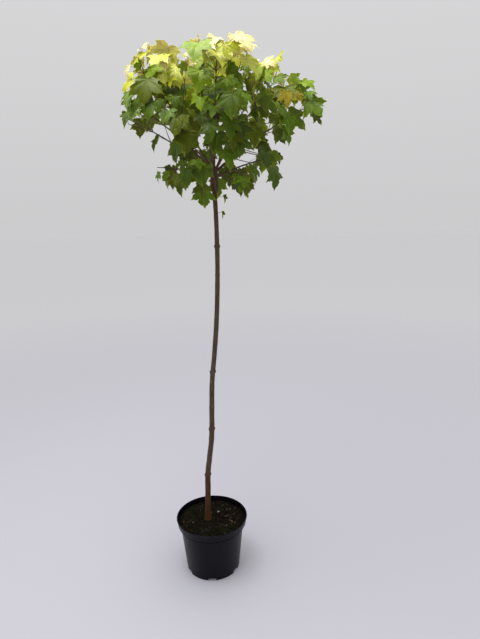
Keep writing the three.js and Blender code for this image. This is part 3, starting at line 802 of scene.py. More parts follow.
def pierces(pieces, triangles):
    """Whether any of the straight pieces goes through any of the triangles."""
    if not len(pieces) or not len(triangles):
        return False
    start = pieces[:, 0][:, None]
    line = pieces[:, 1] - pieces[:, 0]
    length = np.linalg.norm(line, axis=1)[:, None]
    line = (line / length)[:, None]
    corner = triangles[:, 0][None]
    first = (triangles[:, 1] - triangles[:, 0])[None]
    second = (triangles[:, 2] - triangles[:, 0])[None]
    across = np.cross(line, second)
    facing = (across * first).sum(axis=2)
    facing = np.where(np.abs(facing) < TINY, np.inf, facing)
    offset = start - corner
    u = (offset * across).sum(axis=2) / facing
    turned = np.cross(offset, first)
    v = (line * turned).sum(axis=2) / facing
    reach = (second * turned).sum(axis=2) / facing
    return bool(((u >= 0) & (v >= 0) & (u + v <= 1) & (reach >= 0) & (reach <= length)).any())


def guard(curve, radius_at, steps, margin):
    """A limb as a slightly grown four-sided prism, for leaves to keep away from."""
    _, normals, binormals = curve.frames(steps)
    rings = []
    for i in range(steps + 1):
        radius = (radius_at(i / steps) + margin) * math.sqrt(2)
        middle = curve.point_at(i / steps)
        ways = (normals[i], binormals[i], -normals[i], -binormals[i])
        rings.append([middle + radius * way for way in ways])
    triangles = []
    pieces = []
    for low, high in zip(rings, rings[1:]):
        for k in range(4):
            a, b = low[k], low[(k + 1) % 4]
            c, d = high[k], high[(k + 1) % 4]
            triangles.append((a, b, d))
            triangles.append((a, d, c))
            pieces.append((a, c))
    return pieces, triangles


class Leaf:
    """Where a leaf's stalk starts, where its blade sits and how the blade is turned and bent."""

    def __init__(self, root, base, along, across, normal, size, cup, fold):
        self.root = root
        self.base = base
        self.along = along
        self.across = across
        self.normal = normal
        self.size = size
        self.cup = cup
        self.fold = fold
        self.young = False

    def roll(self, angle):
        self.across = rotated(self.across, self.along, angle)
        self.normal = rotated(self.normal, self.along, angle)

    def turn_to_light(self):
        facing = self.normal @ FRONT
        if abs(facing) < EDGE_ON:
            gain = cross(self.along, self.normal) @ FRONT
            self.roll(math.radians(EDGE_ROLL) * (1 if facing * gain > 0 else -1))

    def blade(self, across, along, lift=0.0):
        """Points of the blade; across, along and lift are arrays in leaf lengths."""
        across = np.asarray(across, float)[..., None]
        along = np.asarray(along, float)[..., None]
        height = self.fold * np.abs(across) - self.cup * along * np.abs(along)
        height = height + np.asarray(lift, float)[..., None]
        inside = across * self.across + along * self.along + height * self.normal
        return self.base + inside * self.size

    def sketch(self):
        xs, ys = zip(*OUTLINE)
        edge = self.blade(xs, ys)
        after = np.roll(edge, -1, axis=0)
        base = np.broadcast_to(self.base, edge.shape)
        triangles = np.stack([base, edge, after], axis=1)
        pieces = np.stack([edge, after], axis=1)
        return edge, pieces, triangles


def sideward(tangent, side, spread):
    """The direction that is spread degrees off a tangent, towards a side."""
    angle = math.radians(spread)
    return unit(tangent * math.cos(angle) + side * math.sin(angle))


def pose_leaf(node, side, size, droop, hug, draw):
    """A leaf that leaves a twig's node sideways; hug, 0 to 1, turns its stalk along the twig."""
    spread = lerp(between(draw, *STALK_SPREAD), STALK_SPREAD_HUGGING, hug)
    start = sideward(node["tangent"], side, spread)
    stalk = size * between(draw, *STALK_LENGTH)
    rise = np.array([0, 0, between(draw, *STALK_RISE)])
    base = node["point"] + unit(start + rise) * stalk
    outward = unit(np.array([node["point"][0] - APEX[0], node["point"][1] - APEX[1], 0.0]))
    forward = unit(unit(np.array([start[0], start[1], 0.0])) + outward * BLADE_OUTWARD)
    forward = rotated(forward, UP, math.radians(between(draw, -BLADE_TURN, BLADE_TURN)))
    fall = math.radians(droop + between(draw, -BLADE_FALL, BLADE_FALL))
    along = forward * math.cos(fall) - UP * math.sin(fall)
    roll = math.radians(between(draw, -BLADE_ROLL, BLADE_ROLL))
    across = rotated(unit(cross(along, UP)), along, roll)
    normal = unit(cross(across, along))
    cup = between(draw, *BLADE_CUP)
    fold = between(draw, *BLADE_FOLD)
    return Leaf(node["point"], base, along, across, normal, size, cup, fold)


def sideways(tangent, turn):
    across = cross(tangent, UP)
    if math.sqrt(across @ across) < UPRIGHT:
        across = RIGHT
    return rotated(unit(across), tangent, turn)


def twig_nodes(curve, length, first, phase):
    """The nodes of a twig, each with a pair of leaves a quarter turn on from the last."""
    count = max(1, math.floor((length - first) / NODE_SPACING + 0.5))
    nodes = []
    for k in range(count):
        share = (first + (k + NODE_SHIFT) / (count - NODE_SHIFT) * (length - first)) / length
        part = clamp(share)
        place = {"point": curve.point_at(part), "tangent": curve.tangent_at(part)}
        place.update(share=share, turn=phase + k * PAIR_TURN)
        nodes.append(place)
    return nodes


def tip_node(curve, turn):
    return {"point": curve.point_at(TWIG_END), "tangent": curve.tangent_at(1), "turn": turn + PAIR_TURN}


def droop_at(height):
    share = clamp((height - DROOP_FROM) / (CROWN_TOP - DROOP_FROM))
    return lerp(DROOP_LOW, DROOP_HIGH, share)


def side_twig(node, side, length):
    start = sideward(node["tangent"], side, TWIG_SPREAD)
    bend = node["point"] + start * length / 2
    end = unit(start + UP * TWIG_RISE)
    return Bend(node["point"], bend, bend + end * length / 2)


class Shoot:
    """A shoot from the head: a bare bough, then a stem with twigs and leaves in its own space."""

    def __init__(self, name, azimuth, tilt, space, length, start, seed):
        self.name = name
        self.length = length
        self.seed = seed
        self.direction = heading(azimuth, space)
        draw = random_from(PLAN_KEY, seed)
        middle = trunk_middle(start)
        azimuth += between(draw, -AZIMUTH_JITTER, AZIMUTH_JITTER)
        tilt += between(draw, -TILT_JITTER, TILT_JITTER)
        half = middle + heading(azimuth, tilt - SHOOT_ARCH) * length / 2
        tip = half + heading(azimuth, tilt + SHOOT_ARCH) * length / 2
        self.curve = Bend(middle, half, tip)
        self.standing = Standing()
        self.leaves = []
        self.twigs = []
        self.nodes = []

    def holds(self, points):
        """Whether points are inside both the crown's outline and this shoot's own space."""
        points = np.atleast_2d(points)
        height = points[:, 2]
        if height.min() < CROWN_BOTTOM or height.max() > CROWN_TOP:
            return False
        reach = np.hypot(points[:, 0] - CROWN_AXIS[0], points[:, 1] - CROWN_AXIS[1])
        rows = np.array(CROWN_OUTLINE)
        if (reach > np.interp(height, rows[:, 0], rows[:, 1])).any():
            return False
        return bool(((points - APEX) @ self.walls.T >= SPACE_MARGIN).all())

    def takes(self, leaf, young):
        """Whether there is room for a leaf; if so, it stands there from now on."""
        edge, pieces, triangles = leaf.sketch()
        if not self.holds(np.vstack([edge, leaf.base])):
            return False
        line = leaf.base - leaf.root
        stalk = np.stack([leaf.root + line * part for part in STALK_TESTED])[None]
        pieces = np.concatenate([pieces, stalk])
        if self.standing.is_hit_by(pieces, triangles) or limbs.is_hit_by(pieces, triangles):
            return False
        leaf.young = young
        self.standing.add(pieces, triangles)
        return True

    def place_pair(self, node, key, young):
        for flip in (0, 1):
            for attempt in range(TRIES):
                if len(self.leaves) >= MOST_LEAVES:
                    return
                draw = random_from(*key, flip, attempt)
                hug = attempt / (TRIES - 1)
                grown = LEAF_YOUNG if young else between(draw, LEAF_SMALL, LEAF_LARGE)
                swing = (1 if attempt % 2 else -1) * HUGGING_SWING * hug
                side = sideways(node["tangent"], node["turn"] + flip * math.pi + swing)
                droop = DROOP_YOUNG if young else droop_at(node["point"][2])
                size = grown * lerp(1, HUGGING_SIZE, hug)
                leaf = pose_leaf(node, side, size, droop, hug, draw)
                if self.takes(leaf, young):
                    self.leaves.append(leaf)
                    break

    def grow(self):
        draw = random_from(GROW_KEY, self.seed)
        self.stem = Stretch(self.curve, BOUGH_SHARE + STEM_GAP / self.length, 1)
        stem_length = self.length * (1 - BOUGH_SHARE)
        line = [self.stem.point(i / STEM_PIECES) for i in range(STEM_PIECES + 1)]
        self.standing.add(list(zip(line, line[1:])), [])
        nodes = twig_nodes(self.stem, stem_length, FIRST_NODE, between(draw, 0, math.pi))
        self.nodes += nodes
        self.place_pair(tip_node(self.stem, nodes[-1]["turn"]), (self.seed, 0, TIP_KEY), True)
        for k, node in enumerate(nodes):
            self.place_pair(node, (self.seed, 0, k), False)
        for k, node in enumerate(nodes[:-2]):
            if k % 2 == 1:
                continue
            for flip in (0, 1):
                side = sideways(node["tangent"], node["turn"] + flip * math.pi + math.pi / 2)
                share = lerp(TWIG_LONGEST, TWIG_SHORTEST, node["share"])
                length = stem_length * share * between(draw, *TWIG_VARIES)
                twig = side_twig(node, side, length)
                if not self.holds([twig.point_at(share) for share in TWIG_TESTED]):
                    continue
                before = len(self.leaves)
                key = (self.seed, 1 + 2 * k + flip)
                turn = node["turn"] + TWIG_TURN
                self.place_pair(tip_node(twig, turn), (*key, TIP_KEY), True)
                small = twig_nodes(twig, length, length * TWIG_BARE, turn)
                for j, place in enumerate(small):
                    self.place_pair(place, (*key, j), False)
                if len(self.leaves) > before:
                    self.twigs.append(twig)
                    self.nodes += small


def sprout_leaf(height, azimuth, stalk, size, face, droop):
    root = trunk_middle(height)
    base = root + heading(azimuth, SPROUT_TILT) * stalk
    along = heading(face, 90 + droop)
    across = unit(cross(along, UP))
    normal = cross(across, along)
    return Leaf(root, base, along, across, normal, size, SPROUT_CUP, SPROUT_FOLD)


def add_object(name, data):
    made = bpy.data.objects.new(name, data)
    bpy.context.scene.collection.objects.link(made)
    return made


def circle(radius, sides, height, turn=0.0):
    """Points round a level circle."""
    turns = turn + np.arange(sides) / sides * 2 * math.pi
    return np.stack([radius * np.cos(turns), radius * np.sin(turns), np.full(sides, height)], axis=1)


def spun(points, turn):
    """Points turned about the vertical."""
    x, y, z = np.asarray(points, float).T
    c, s = math.cos(turn), math.sin(turn)
    return np.stack([x * c - y * s, x * s + y * c, z], axis=1)


class Pile:
    """Points in millimetres, faces, a material for each face and a vein place for each point."""

    def __init__(self):
        self.points = []
        self.faces = []
        self.kinds = []
        self.places = []
        self.count = 0

    def add(self, points, faces, kinds, places=None):
        self.points.append(np.asarray(points, float).reshape(-1, 3))
        self.faces += [tuple(i + self.count for i in face) for face in faces]
        self.kinds += [kinds] * len(faces) if isinstance(kinds, int) else list(kinds)
        if places is None:
            places = np.zeros((len(self.points[-1]), 2))
        self.places.append(places)
        self.count += len(self.points[-1])

    def build(self, name, materials, slot, *nodes):
        mesh = bpy.data.meshes.new(name)
        mesh.from_pydata((np.concatenate(self.points) * MM).tolist(), [], self.faces)
        for item in materials:
            mesh.materials.append(item)
        mesh.polygons.foreach_set("material_index", np.array(self.kinds, np.int32))
        mesh.polygons.foreach_set("use_smooth", np.ones(len(self.faces), bool))
        corners = np.zeros(len(mesh.loops), np.int32)
        mesh.loops.foreach_get("vertex_index", corners)
        layer = mesh.uv_layers.new(name="veins")
        layer.data.foreach_set("uv", np.concatenate(self.places)[corners].astype(np.float32).ravel())
        mesh.update()
        piece = add_object(name, mesh)
        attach(piece, "root")
        if nodes:
            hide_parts(*nodes)
        return piece


def edge_columns():
    """The whole edge as columns: x, y, part, evenly spread angle, and side of a vein."""
    right = list(LEAF_EDGE)
    left = [(-x, y, part) for x, y, part in reversed(LEAF_EDGE[1:-1])]
    whole = right + left
    notch = -math.pi / 2
    angles = [notch + (math.atan2(y, x) - notch) % (2 * math.pi) for x, y, _ in whole]
    angles.append(notch + 2 * math.pi)
    fixed = [0] + [i for i, row in enumerate(whole) if "tip" in row[2]] + [len(whole)]
    even = list(angles)
    for a, b in zip(fixed, fixed[1:]):
        for i in range(a + 1, b):
            even[i] = lerp(angles[a], angles[b], (i - a) / (b - a))
    columns = []
    for i, (x, y, part) in enumerate(whole):
        for side in (-1, 1) if "tip" in part else (0,):
            columns.append((x, y, part.replace("_tip", ""), even[i], side))
    return columns


COLUMNS = edge_columns()
COLUMN_EVEN = np.array([row[3] for row in COLUMNS])
COLUMN_SIDES = np.array([row[4] for row in COLUMNS])


def blade_faces():
    """Faces of one side of a blade, and which of them are veins."""
    count = len(COLUMNS)
    faces = []
    veins = []
    for c in range(count):
        after = (c + 1) % count
        is_vein = COLUMN_SIDES[c] == -1 and COLUMN_SIDES[after] == 1
        faces.append((0, 1 + c, 1 + after))
        veins.append(is_vein)
        for r in range(len(LEAF_RINGS) - 1):
            low, high = 1 + r * count, 1 + (r + 1) * count
            faces.append((low + c, high + c, high + after, low + after))
            veins.append(is_vein)
    return faces, veins


BLADE_FACES, BLADE_VEINS = blade_faces()


def blade_grid(draw, young):
    """A blade's points across and along, and their distance from and along the nearest vein."""
    scale = {part: between(draw, *limits) for part, limits in LOBE_VARIES.items()}
    wide = between(draw, *MIDDLE_VARIES)
    if young:
        wide *= YOUNG_LOBES["middle"]
        for part in scale:
            scale[part] *= YOUNG_LOBES.get(part, 1)
    edge = []
    for x, y, part, _, _ in COLUMNS:
        grown = scale.get(part, 1.0)
        edge.append((x * (wide if part == "middle" else 1) * grown, y * grown))
    edge = np.array(edge)
    angle = np.unwrap(np.arctan2(edge[:, 1], edge[:, 0]))
    angle += 2 * math.pi * round((-math.pi / 2 - angle[0]) / (2 * math.pi))
    tips = [i for i, side in enumerate(COLUMN_SIDES) if side == -1]
    t = LEAF_RINGS[:, None]
    blend = t * t * (3 - 2 * t)
    turned = COLUMN_EVEN * (1 - blend) + angle * blend
    turned = np.where(COLUMN_SIDES != 0, angle, turned)
    far = np.hypot(edge[:, 0], edge[:, 1]) * t
    width = (VEIN_TIP_WIDTH + (VEIN_WIDTH - VEIN_TIP_WIDTH) * (1 - t)) * COLUMN_SIDES
    across = far * np.cos(turned) - width * np.sin(turned)
    along = far * np.sin(turned) + width * np.cos(turned)
    across = np.concatenate([[0], across.ravel()])
    along = np.concatenate([[0], along.ravel()])
    aside = np.full(len(across), np.inf)
    down = np.zeros(len(across))
    for i in tips:
        way = edge[i] / np.hypot(*edge[i])
        gap = np.abs(across * way[1] - along * way[0])
        reach = across * way[0] + along * way[1]
        gap = np.where(reach < 0, np.hypot(across, along), gap)
        nearer = gap < aside
        aside = np.where(nearer, gap, aside)
        down = np.where(nearer, reach, down)
    return across, along, aside, down


def add_blade(pile, leaf, draw, upper, vein, under):
    """One blade: veined upper side and paler underside, thinning to nothing at the edge."""
    across, along, aside, down = blade_grid(draw, leaf.young)
    share = np.concatenate([[0], np.repeat(LEAF_RINGS, len(COLUMNS))])
    angle = np.arctan2(along, across)
    phase = between(draw, *MARGIN_PHASE)
    lift = PILLOW * (1 - np.exp(-((aside / PILLOW_WIDTH) ** 2)))
    for i, waves in enumerate(MARGIN_WAVES, 1):
        lift = lift + MARGIN_WAVE / i * share**3 * np.sin(waves * angle + i * phase)
    far = np.hypot(across, along)
    lift = lift - between(draw, *TIP_DROOP) * np.clip(far - TIP_DROOP_FROM, 0, None) ** 2
    twist = between(draw, *TWIST) * (1 if draw() < 0.5 else -1)
    lift = lift + twist * across * along
    top = leaf.blade(across, along, lift)
    body = LEAF_THICKNESS / leaf.size * (1 - share**THIN_EDGE)
    bottom = leaf.blade(across, along, lift - body)
    places = np.stack([aside, down], axis=1)
    kinds = [vein if is_vein else upper for is_vein in BLADE_VEINS]
    pile.add(top, BLADE_FACES, kinds, places)
    pile.add(bottom, [face[::-1] for face in BLADE_FACES], under, places)


def ring_faces(low, high, sides):
    """Faces between two rings, each given by the number of its first point."""
    return [(low + k, low + (k + 1) % sides, high + (k + 1) % sides, high + k) for k in range(sides)]


def cap_faces(ring, tip, sides):
    return [(ring + k, ring + (k + 1) % sides, tip) for k in range(sides)]


def add_rings(pile, rings, tip, kind):
    """A tube through rings of points, open at its foot and closed at its tip."""
    sides = len(rings[0])
    faces = []
    for i in range(len(rings) - 1):
        faces += ring_faces(i * sides, (i + 1) * sides, sides)
    end = len(rings) * sides
    faces += cap_faces(end - sides, end, sides)
    pile.add(np.vstack([*rings, tip]), faces, kind)


def add_tube(pile, points, radii, sides, kind, relief=None):
    """A tube that follows points, square to its own line; relief raises its surface."""
    points = np.asarray(points, float)
    tangents = np.gradient(points, axis=0)
    tangents /= np.linalg.norm(tangents, axis=1)[:, None]
    start = UP if abs(tangents[0][2]) < STEEP else RIGHT
    normal = unit(cross(tangents[0], start))
    rings = []
    turns = np.arange(sides) / sides * 2 * math.pi
    for i, tangent in enumerate(tangents):
        normal = unit(normal - tangent * (normal @ tangent))
        binormal = cross(tangent, normal)
        radius = np.full(sides, float(radii[i]))
        if relief is not None:
            radius = radius + relief(i, turns)
        ring = np.outer(np.cos(turns) * radius, normal) + np.outer(np.sin(turns) * radius, binormal)
        rings.append(points[i] + ring)
    add_rings(pile, rings, points[-1] + tangents[-1] * radii[-1] * TUBE_TIP, kind)


def add_stalk(pile, leaf, kind):
    """A leaf stalk: thick where it leaves the twig, arching a little to the blade's foot."""
    line = leaf.base - leaf.root
    length = math.sqrt(line @ line)
    bend = leaf.root + line * STALK_BEND + UP * length * STALK_ARCH
    end = leaf.base - leaf.normal * LEAF_THICKNESS
    shares = np.linspace(0, 1, STALK_RINGS)
    points = [bezier(leaf.root, bend, end, t) for t in shares]
    size = clamp(leaf.size / LEAF_LARGE, THINNEST_STALK, 1.0)
    radii = [size * lerp(STALK_RADIUS, STALK_FOOT_RADIUS, (1 - t) ** STALK_FLARE) for t in shares]
    add_tube(pile, points, radii, STALK_SIDES, kind)


class Paint:
    """A material and the nodes that colour and roughen it."""

    def __init__(self, name, color, roughness, **inputs):
        self.item = bpy.data.materials.new(name)
        self.item.use_nodes = True
        self.nodes = self.item.node_tree.nodes
        self.links = self.item.node_tree.links
        self.shader = self.nodes["Principled BSDF"]
        self.shader.inputs["Base Color"].default_value = (*color, 1)
        self.shader.inputs["Roughness"].default_value = roughness
        for key, value in inputs.items():
            self.shader.inputs[key.replace("_", " ")].default_value = value

    def node(self, kind, inputs, **settings):
        """A node whose inputs are set to values or linked to other nodes' outputs."""
        made = self.nodes.new(kind)
        for key, value in settings.items():
            setattr(made, key, value)
        for key, value in inputs.items():
            if isinstance(value, bpy.types.NodeSocket):
                self.links.new(value, made.inputs[key])
            else:
                made.inputs[key].default_value = value
        return made

    def math(self, operation, first, second=0.0):
        return self.node("ShaderNodeMath", {0: first, 1: second}, operation=operation).outputs[0]

    def place(self):
        return self.node("ShaderNodeTexCoord", {}).outputs["Object"]

    def split(self, vector):
        return self.node("ShaderNodeSeparateXYZ", {0: vector}).outputs

    def noise(self, scale, detail, stretch=(1, 1, 1)):
        """Noise in the object's own space, scale in features a metre."""
        mapping = self.node("ShaderNodeMapping", {"Vector": self.place(), "Scale": stretch})
        inputs = {"Vector": mapping.outputs[0], "Scale": scale, "Detail": detail}
        return self.node("ShaderNodeTexNoise", inputs).outputs[0]

    def ramp(self, source, places, colors):
        made = self.node("ShaderNodeValToRGB", {"Fac": source})
        elements = made.color_ramp.elements
        while len(elements) < len(places):
            elements.new(0.5)
        for element, place, color in zip(elements, places, colors):
            element.position = place
            element.color = (*color, 1)
        return made.outputs["Color"]

    def mix(self, share, first, second):
        """A mix of two colours, each a node's output or a plain colour."""
        first, second = [(*c, 1) if isinstance(c, tuple) else c for c in (first, second)]
        inputs = {"Factor": share, 6: first, 7: second}
        return self.node("ShaderNodeMix", inputs, data_type="RGBA").outputs[2]

    def spots(self, source, low, high, amount):
        """0 where a noise is under low, and amount where it is over high."""
        return self.math("MULTIPLY", self.ramp(source, (low, high), (BLACK, WHITE)), amount)

    def step(self, source, low, high):
        """0 below low, 1 above high, and a smooth change between them."""
        inputs = {"Value": source, "From Min": low, "From Max": high}
        return self.node("ShaderNodeMapRange", inputs, interpolation_type="SMOOTHSTEP").outputs[0]

    def tint(self, color):
        self.links.new(color, self.shader.inputs["Base Color"])

    def rough(self, source, low, high):
        made = self.node("ShaderNodeMapRange", {"Value": source, "To Min": low, "To Max": high})
        self.links.new(made.outputs[0], self.shader.inputs["Roughness"])

    def bump(self, height, strength, distance):
        inputs = {"Height": height, "Strength": strength, "Distance": distance}
        made = self.node("ShaderNodeBump", inputs)
        self.links.new(made.outputs["Normal"], self.shader.inputs["Normal"])


def shade(color, amount):
    return tuple(c * amount for c in color)


def shades(color, amounts):
    return [shade(color, amount) for amount in amounts]


def leaf_paint(name, color, vein_color, roughness, veined, gloss):
    paint = Paint(name, color, roughness, Specular_IOR_Level=gloss, **LEAF_SHEEN)
    body = paint.ramp(paint.noise(*LEAF_MOTTLE), LEAF_STOPS, shades(color, LEAF_SHADES))
    fine = paint.noise(*LEAF_GRAIN)
    relief = fine
    if veined:
        aside, down, _ = paint.split(paint.node("ShaderNodeUVMap", {}, uv_map="veins").outputs["UV"])
        slant = paint.math("SUBTRACT", down, paint.math("MULTIPLY", aside, SIDE_VEIN_SLANT))
        turn = paint.math("FRACT", paint.math("DIVIDE", slant, SIDE_VEIN_SPACING))
        gap = paint.math("ABSOLUTE", paint.math("SUBTRACT", turn, 0.5))
        line = paint.math("GREATER_THAN", gap, 0.5 - SIDE_VEIN_WIDTH)
        body = paint.mix(paint.math("MULTIPLY", line, SIDE_VEIN_SHOWS), body, vein_color)
        relief = paint.math("SUBTRACT", paint.math("MULTIPLY", fine, LEAF_GRAIN_RELIEF), gap)
    paint.tint(body)
    paint.rough(fine, roughness - LEAF_SMOOTHER, roughness + LEAF_ROUGHER)
    paint.bump(relief, *LEAF_BUMP)
    return paint.item


def bark_colors(paint, colors, scale):
    """Long streaks of bark with lighter pores."""
    color, low, high = colors
    streaks = paint.noise(scale, *BARK_STREAKS)
    body = paint.ramp(streaks, BARK_STOPS, (low, color, high))
    pores = paint.noise(scale * BARK_PORES_FINER, *BARK_PORES)
    return paint.mix(paint.spots(pores, *BARK_PORE_SPOTS), body, shade(high, BARK_PORE_SHADE)), streaks


def bark_paint(name, colors, roughness, scale):
    paint = Paint(name, colors[0], roughness, Specular_IOR_Level=BARK_GLOSS)
    body, streaks = bark_colors(paint, colors, scale)
    paint.tint(body)
    fine = paint.noise(scale * BARK_GRAIN_FINER, *BARK_GRAIN)
    paint.rough(fine, roughness - BARK_ROUGHNESS_VARIES, roughness + BARK_ROUGHNESS_VARIES)
    paint.bump(paint.math("ADD", fine, streaks), *BARK_BUMP)
    return paint.item


def trunk_paint():
    """Reddish old wood at the foot, grey-brown young wood above it, and a pinkish head."""
    paint = Paint("trunk_bark", BARK_YOUNG[0], TRUNK_ROUGHNESS, Specular_IOR_Level=BARK_GLOSS)
    waver = paint.math("MULTIPLY", paint.noise(*WOOD_WAVES), WOOD_WAVER)
    height = paint.math("ADD", paint.split(paint.place())[2], waver)
    old, _ = bark_colors(paint, BARK_OLD, TRUNK_STREAKS)
    young, streaks = bark_colors(paint, BARK_YOUNG, TRUNK_STREAKS)
    head, _ = bark_colors(paint, BARK_HEAD, TRUNK_STREAKS)
    body = paint.mix(paint.step(height, *YOUNG_WOOD), old, young)
    body = paint.mix(paint.step(height, *HEAD_WOOD), body, head)
    paint.tint(body)
    fine = paint.noise(TRUNK_GRAIN, *BARK_GRAIN)
    paint.rough(fine, *TRUNK_ROUGHNESS_RANGE)
    paint.bump(paint.math("ADD", fine, streaks), *TRUNK_BUMP)
    return paint.item


def leaf_tint(leaf, draw):
    """Which tint a leaf takes: yellower towards the top and outside, deep green within. Partly the paler
    young leaves at the top, and partly painted light on the lit top and painted shade inside the crown.
    """
    rows = np.array(TINT_HEIGHTS)
    reach = math.hypot(leaf.base[0] - CROWN_AXIS[0], leaf.base[1] - CROWN_AXIS[1]) / TINT_REACH
    place = np.interp(leaf.base[2], rows[:, 0], rows[:, 1])
    place += TINT_OUTWARD * (reach - TINT_OUTWARD_FROM) + between(draw, -TINT_VARIES, TINT_VARIES)
    gaps = [np.linalg.norm(leaf.base - spot[:3]) - spot[3] for spot in BRONZE_PLACES]
    if leaf.young and min(gaps) < 0:
        return TINT_NAMES.index("bronze")
    if draw() < OLIVE_SHARE and place < OLIVE_BELOW:
        return TINT_NAMES.index("olive")
    return int(np.searchsorted(TINT_LIMITS, place, side="right"))


def add_leaf(blades, twigs, leaf, key):
    draw = random_from(LOOK_KEY, *key)
    tint = leaf_tint(leaf, draw)
    first = tint * len(LEAF_PARTS)
    add_blade(blades, leaf, draw, first, first + 1, first + 2)
    add_stalk(twigs, leaf, TWIG_KINDS.index("stalk"))


def finer_leaves(shoot):
    """Small leaves on short extra twigs from the shoot's upper nodes, where there is room."""
    found = []
    upper = [(k, node) for k, node in enumerate(shoot.nodes) if node["point"][2] >= FINER_HIGH]
    for k, node in upper:
        for turn in range(FINER_SIDES):
            if len(found) >= MOST_FINER:
                return found
            for attempt in range(TRIES):
                draw = random_from(FINER_KEY, shoot.seed, k, turn, attempt)
                round_it = 2 * math.pi * (turn + draw()) / FINER_SIDES
                side = sideways(node["tangent"], node["turn"] + round_it)
                start = sideward(node["tangent"], side, between(draw, *FINER_SPREAD))
                length = between(draw, *FINER_LENGTH)
                tip = node["point"] + unit(start + UP * TWIG_RISE) * length
                place = {"point": tip, "tangent": start, "turn": 0}
                size = between(draw, *FINER_LEAF)
                leaf = pose_leaf(place, side, size, droop_at(tip[2]) * FINER_DROOP, FINER_HUG, draw)
                leaf.roll(math.radians(between(draw, *FINER_ROLL)) * (1 if draw() < 0.5 else -1))
                leaf.turn_to_light()
                if shoot.holds(tip) and not in_opening(leaf) and shoot.takes(leaf, True):
                    found.append((node["point"], tip, leaf))
                    break
    return found


def in_opening(leaf):
    """Whether a leaf hangs in one of the crown's openings, as the camera sees it."""
    eye = np.array(CAMERA_PLACE, float)
    middle = leaf.blade(0, OPENING_SHARE)
    seen = eye + (middle - eye) * eye[1] / (eye[1] - middle[1])
    return any(math.hypot(seen[0] - x, seen[2] - z) < reach for x, z, reach in OPENINGS)


def whorl(shoot, place):
    """Young leaves that hang round the tip of a short twig, and the point where the twig starts."""
    ends = [curve.point_at(1) for curve in [shoot.stem, *shoot.twigs]]
    root = min(ends, key=lambda end: np.linalg.norm(end - place))
    leaves = []
    for k in range(WHORL_LEAVES):
        for attempt in range(TRIES):
            draw = random_from(WHORL_KEY, shoot.seed, k, attempt)
            azimuth = k / WHORL_LEAVES * 360 + between(draw, -WHORL_TURN, WHORL_TURN)
            base = place + heading(azimuth, between(draw, *WHORL_TILT)) * between(draw, *WHORL_STALK)
            along = heading(azimuth, 90 + between(draw, *WHORL_DROOP))
            across = unit(cross(along, UP))
            size = between(draw, *WHORL_LEAF)
            normal = cross(across, along)
            leaf = Leaf(place, base, along, across, normal, size, WHORL_CUP, WHORL_FOLD)
            if shoot.takes(leaf, True):
                leaves.append(leaf)
                break
    return root, leaves


def rings_along(curve, step):
    count = max(FEWEST_PIECES, round(curve.length / step))
    return [curve.point_at(i / count) for i in range(count + 1)]


def add_stem(pile, shoot):
    points = rings_along(shoot.stem, STEM_STEP)
    shares = np.linspace(0, 1, len(points))
    radii = STEM_FOOT_RADIUS + (STEM_TIP_LOOK_RADIUS - STEM_FOOT_RADIUS) * shares
    for node in shoot.nodes:
        gaps = np.linalg.norm(np.array(points) - node["point"], axis=1)
        radii = radii + NODE_SWELL * np.exp(-((gaps / NODE_SWELL_LENGTH) ** 2))
    add_tube(pile, points, radii, STEM_SIDES, TWIG_KINDS.index("stem"))


def add_twig(pile, twig, foot_radius, tip_radius, step):
    points = rings_along(twig, step)
    radii = np.linspace(foot_radius, tip_radius, len(points))
    add_tube(pile, points, radii, TWIG_SIDES, TWIG_KINDS.index("twig"))


def add_finer_twig(pile, root, tip):
    add_twig(pile, Bend(root, (root + tip) / 2 + UP * FINER_ARCH, tip), *FINER_TWIG)


def make_mass(number, shoot):
    """A shoot's stem, twigs and leaves, with the finer ones and any whorl in its space."""
    blades, twigs = Pile(), Pile()
    add_stem(twigs, shoot)
    for twig in shoot.twigs:
        add_twig(twigs, twig, *TWIG_LOOK)
    for i, leaf in enumerate(shoot.leaves):
        if not in_opening(leaf):
            add_leaf(blades, twigs, leaf, (number, i))
    for tip in np.array(WHORLS, float):
        if shoot.holds(tip):
            root, young_leaves = whorl(shoot, tip)
            add_finer_twig(twigs, root, tip)
            for i, leaf in enumerate(young_leaves):
                add_leaf(blades, twigs, leaf, (number, WHORL_LOOK + i))
    for i, (root, tip, leaf) in enumerate(finer_leaves(shoot)):
        add_finer_twig(twigs, root, tip)
        add_leaf(blades, twigs, leaf, (number, FINER_LOOK + i))
    blades.build("foliage_" + shoot.name, leaf_paints, "foliage", "leaves_" + shoot.name)
    twigs.build("twigs_" + shoot.name, twig_paints, "bark", "leaves_" + shoot.name)


def pot_paint():
    """Satin black plastic with a faint haze, fine scuffs and dust."""
    paint = Paint("black_plastic", POT_COLORS[1], POT_ROUGHNESS, **POT_SHEEN)
    paint.tint(paint.ramp(paint.noise(*POT_HAZE), POT_STOPS, POT_COLORS))
    scuffs = paint.noise(*POT_SCUFFS)
    paint.rough(scuffs, *POT_ROUGHNESS_RANGE)
    paint.bump(scuffs, *POT_BUMP)
    return paint.item


def compost_paint():
    """Damp peat: near-black with brown fibres and greenish patches."""
    paint = Paint("peat", PEAT_COLORS[1], PEAT_ROUGHNESS, Specular_IOR_Level=PEAT_GLOSS)
    crumbs = paint.noise(*PEAT_CRUMBS)
    body = paint.ramp(crumbs, PEAT_STOPS, PEAT_COLORS)
    patches = paint.spots(paint.noise(*PEAT_PATCHES), *PEAT_PATCH_SPOTS)
    paint.tint(paint.mix(patches, body, PEAT_GREEN))
    paint.bump(crumbs, *PEAT_BUMP)
    return paint.item


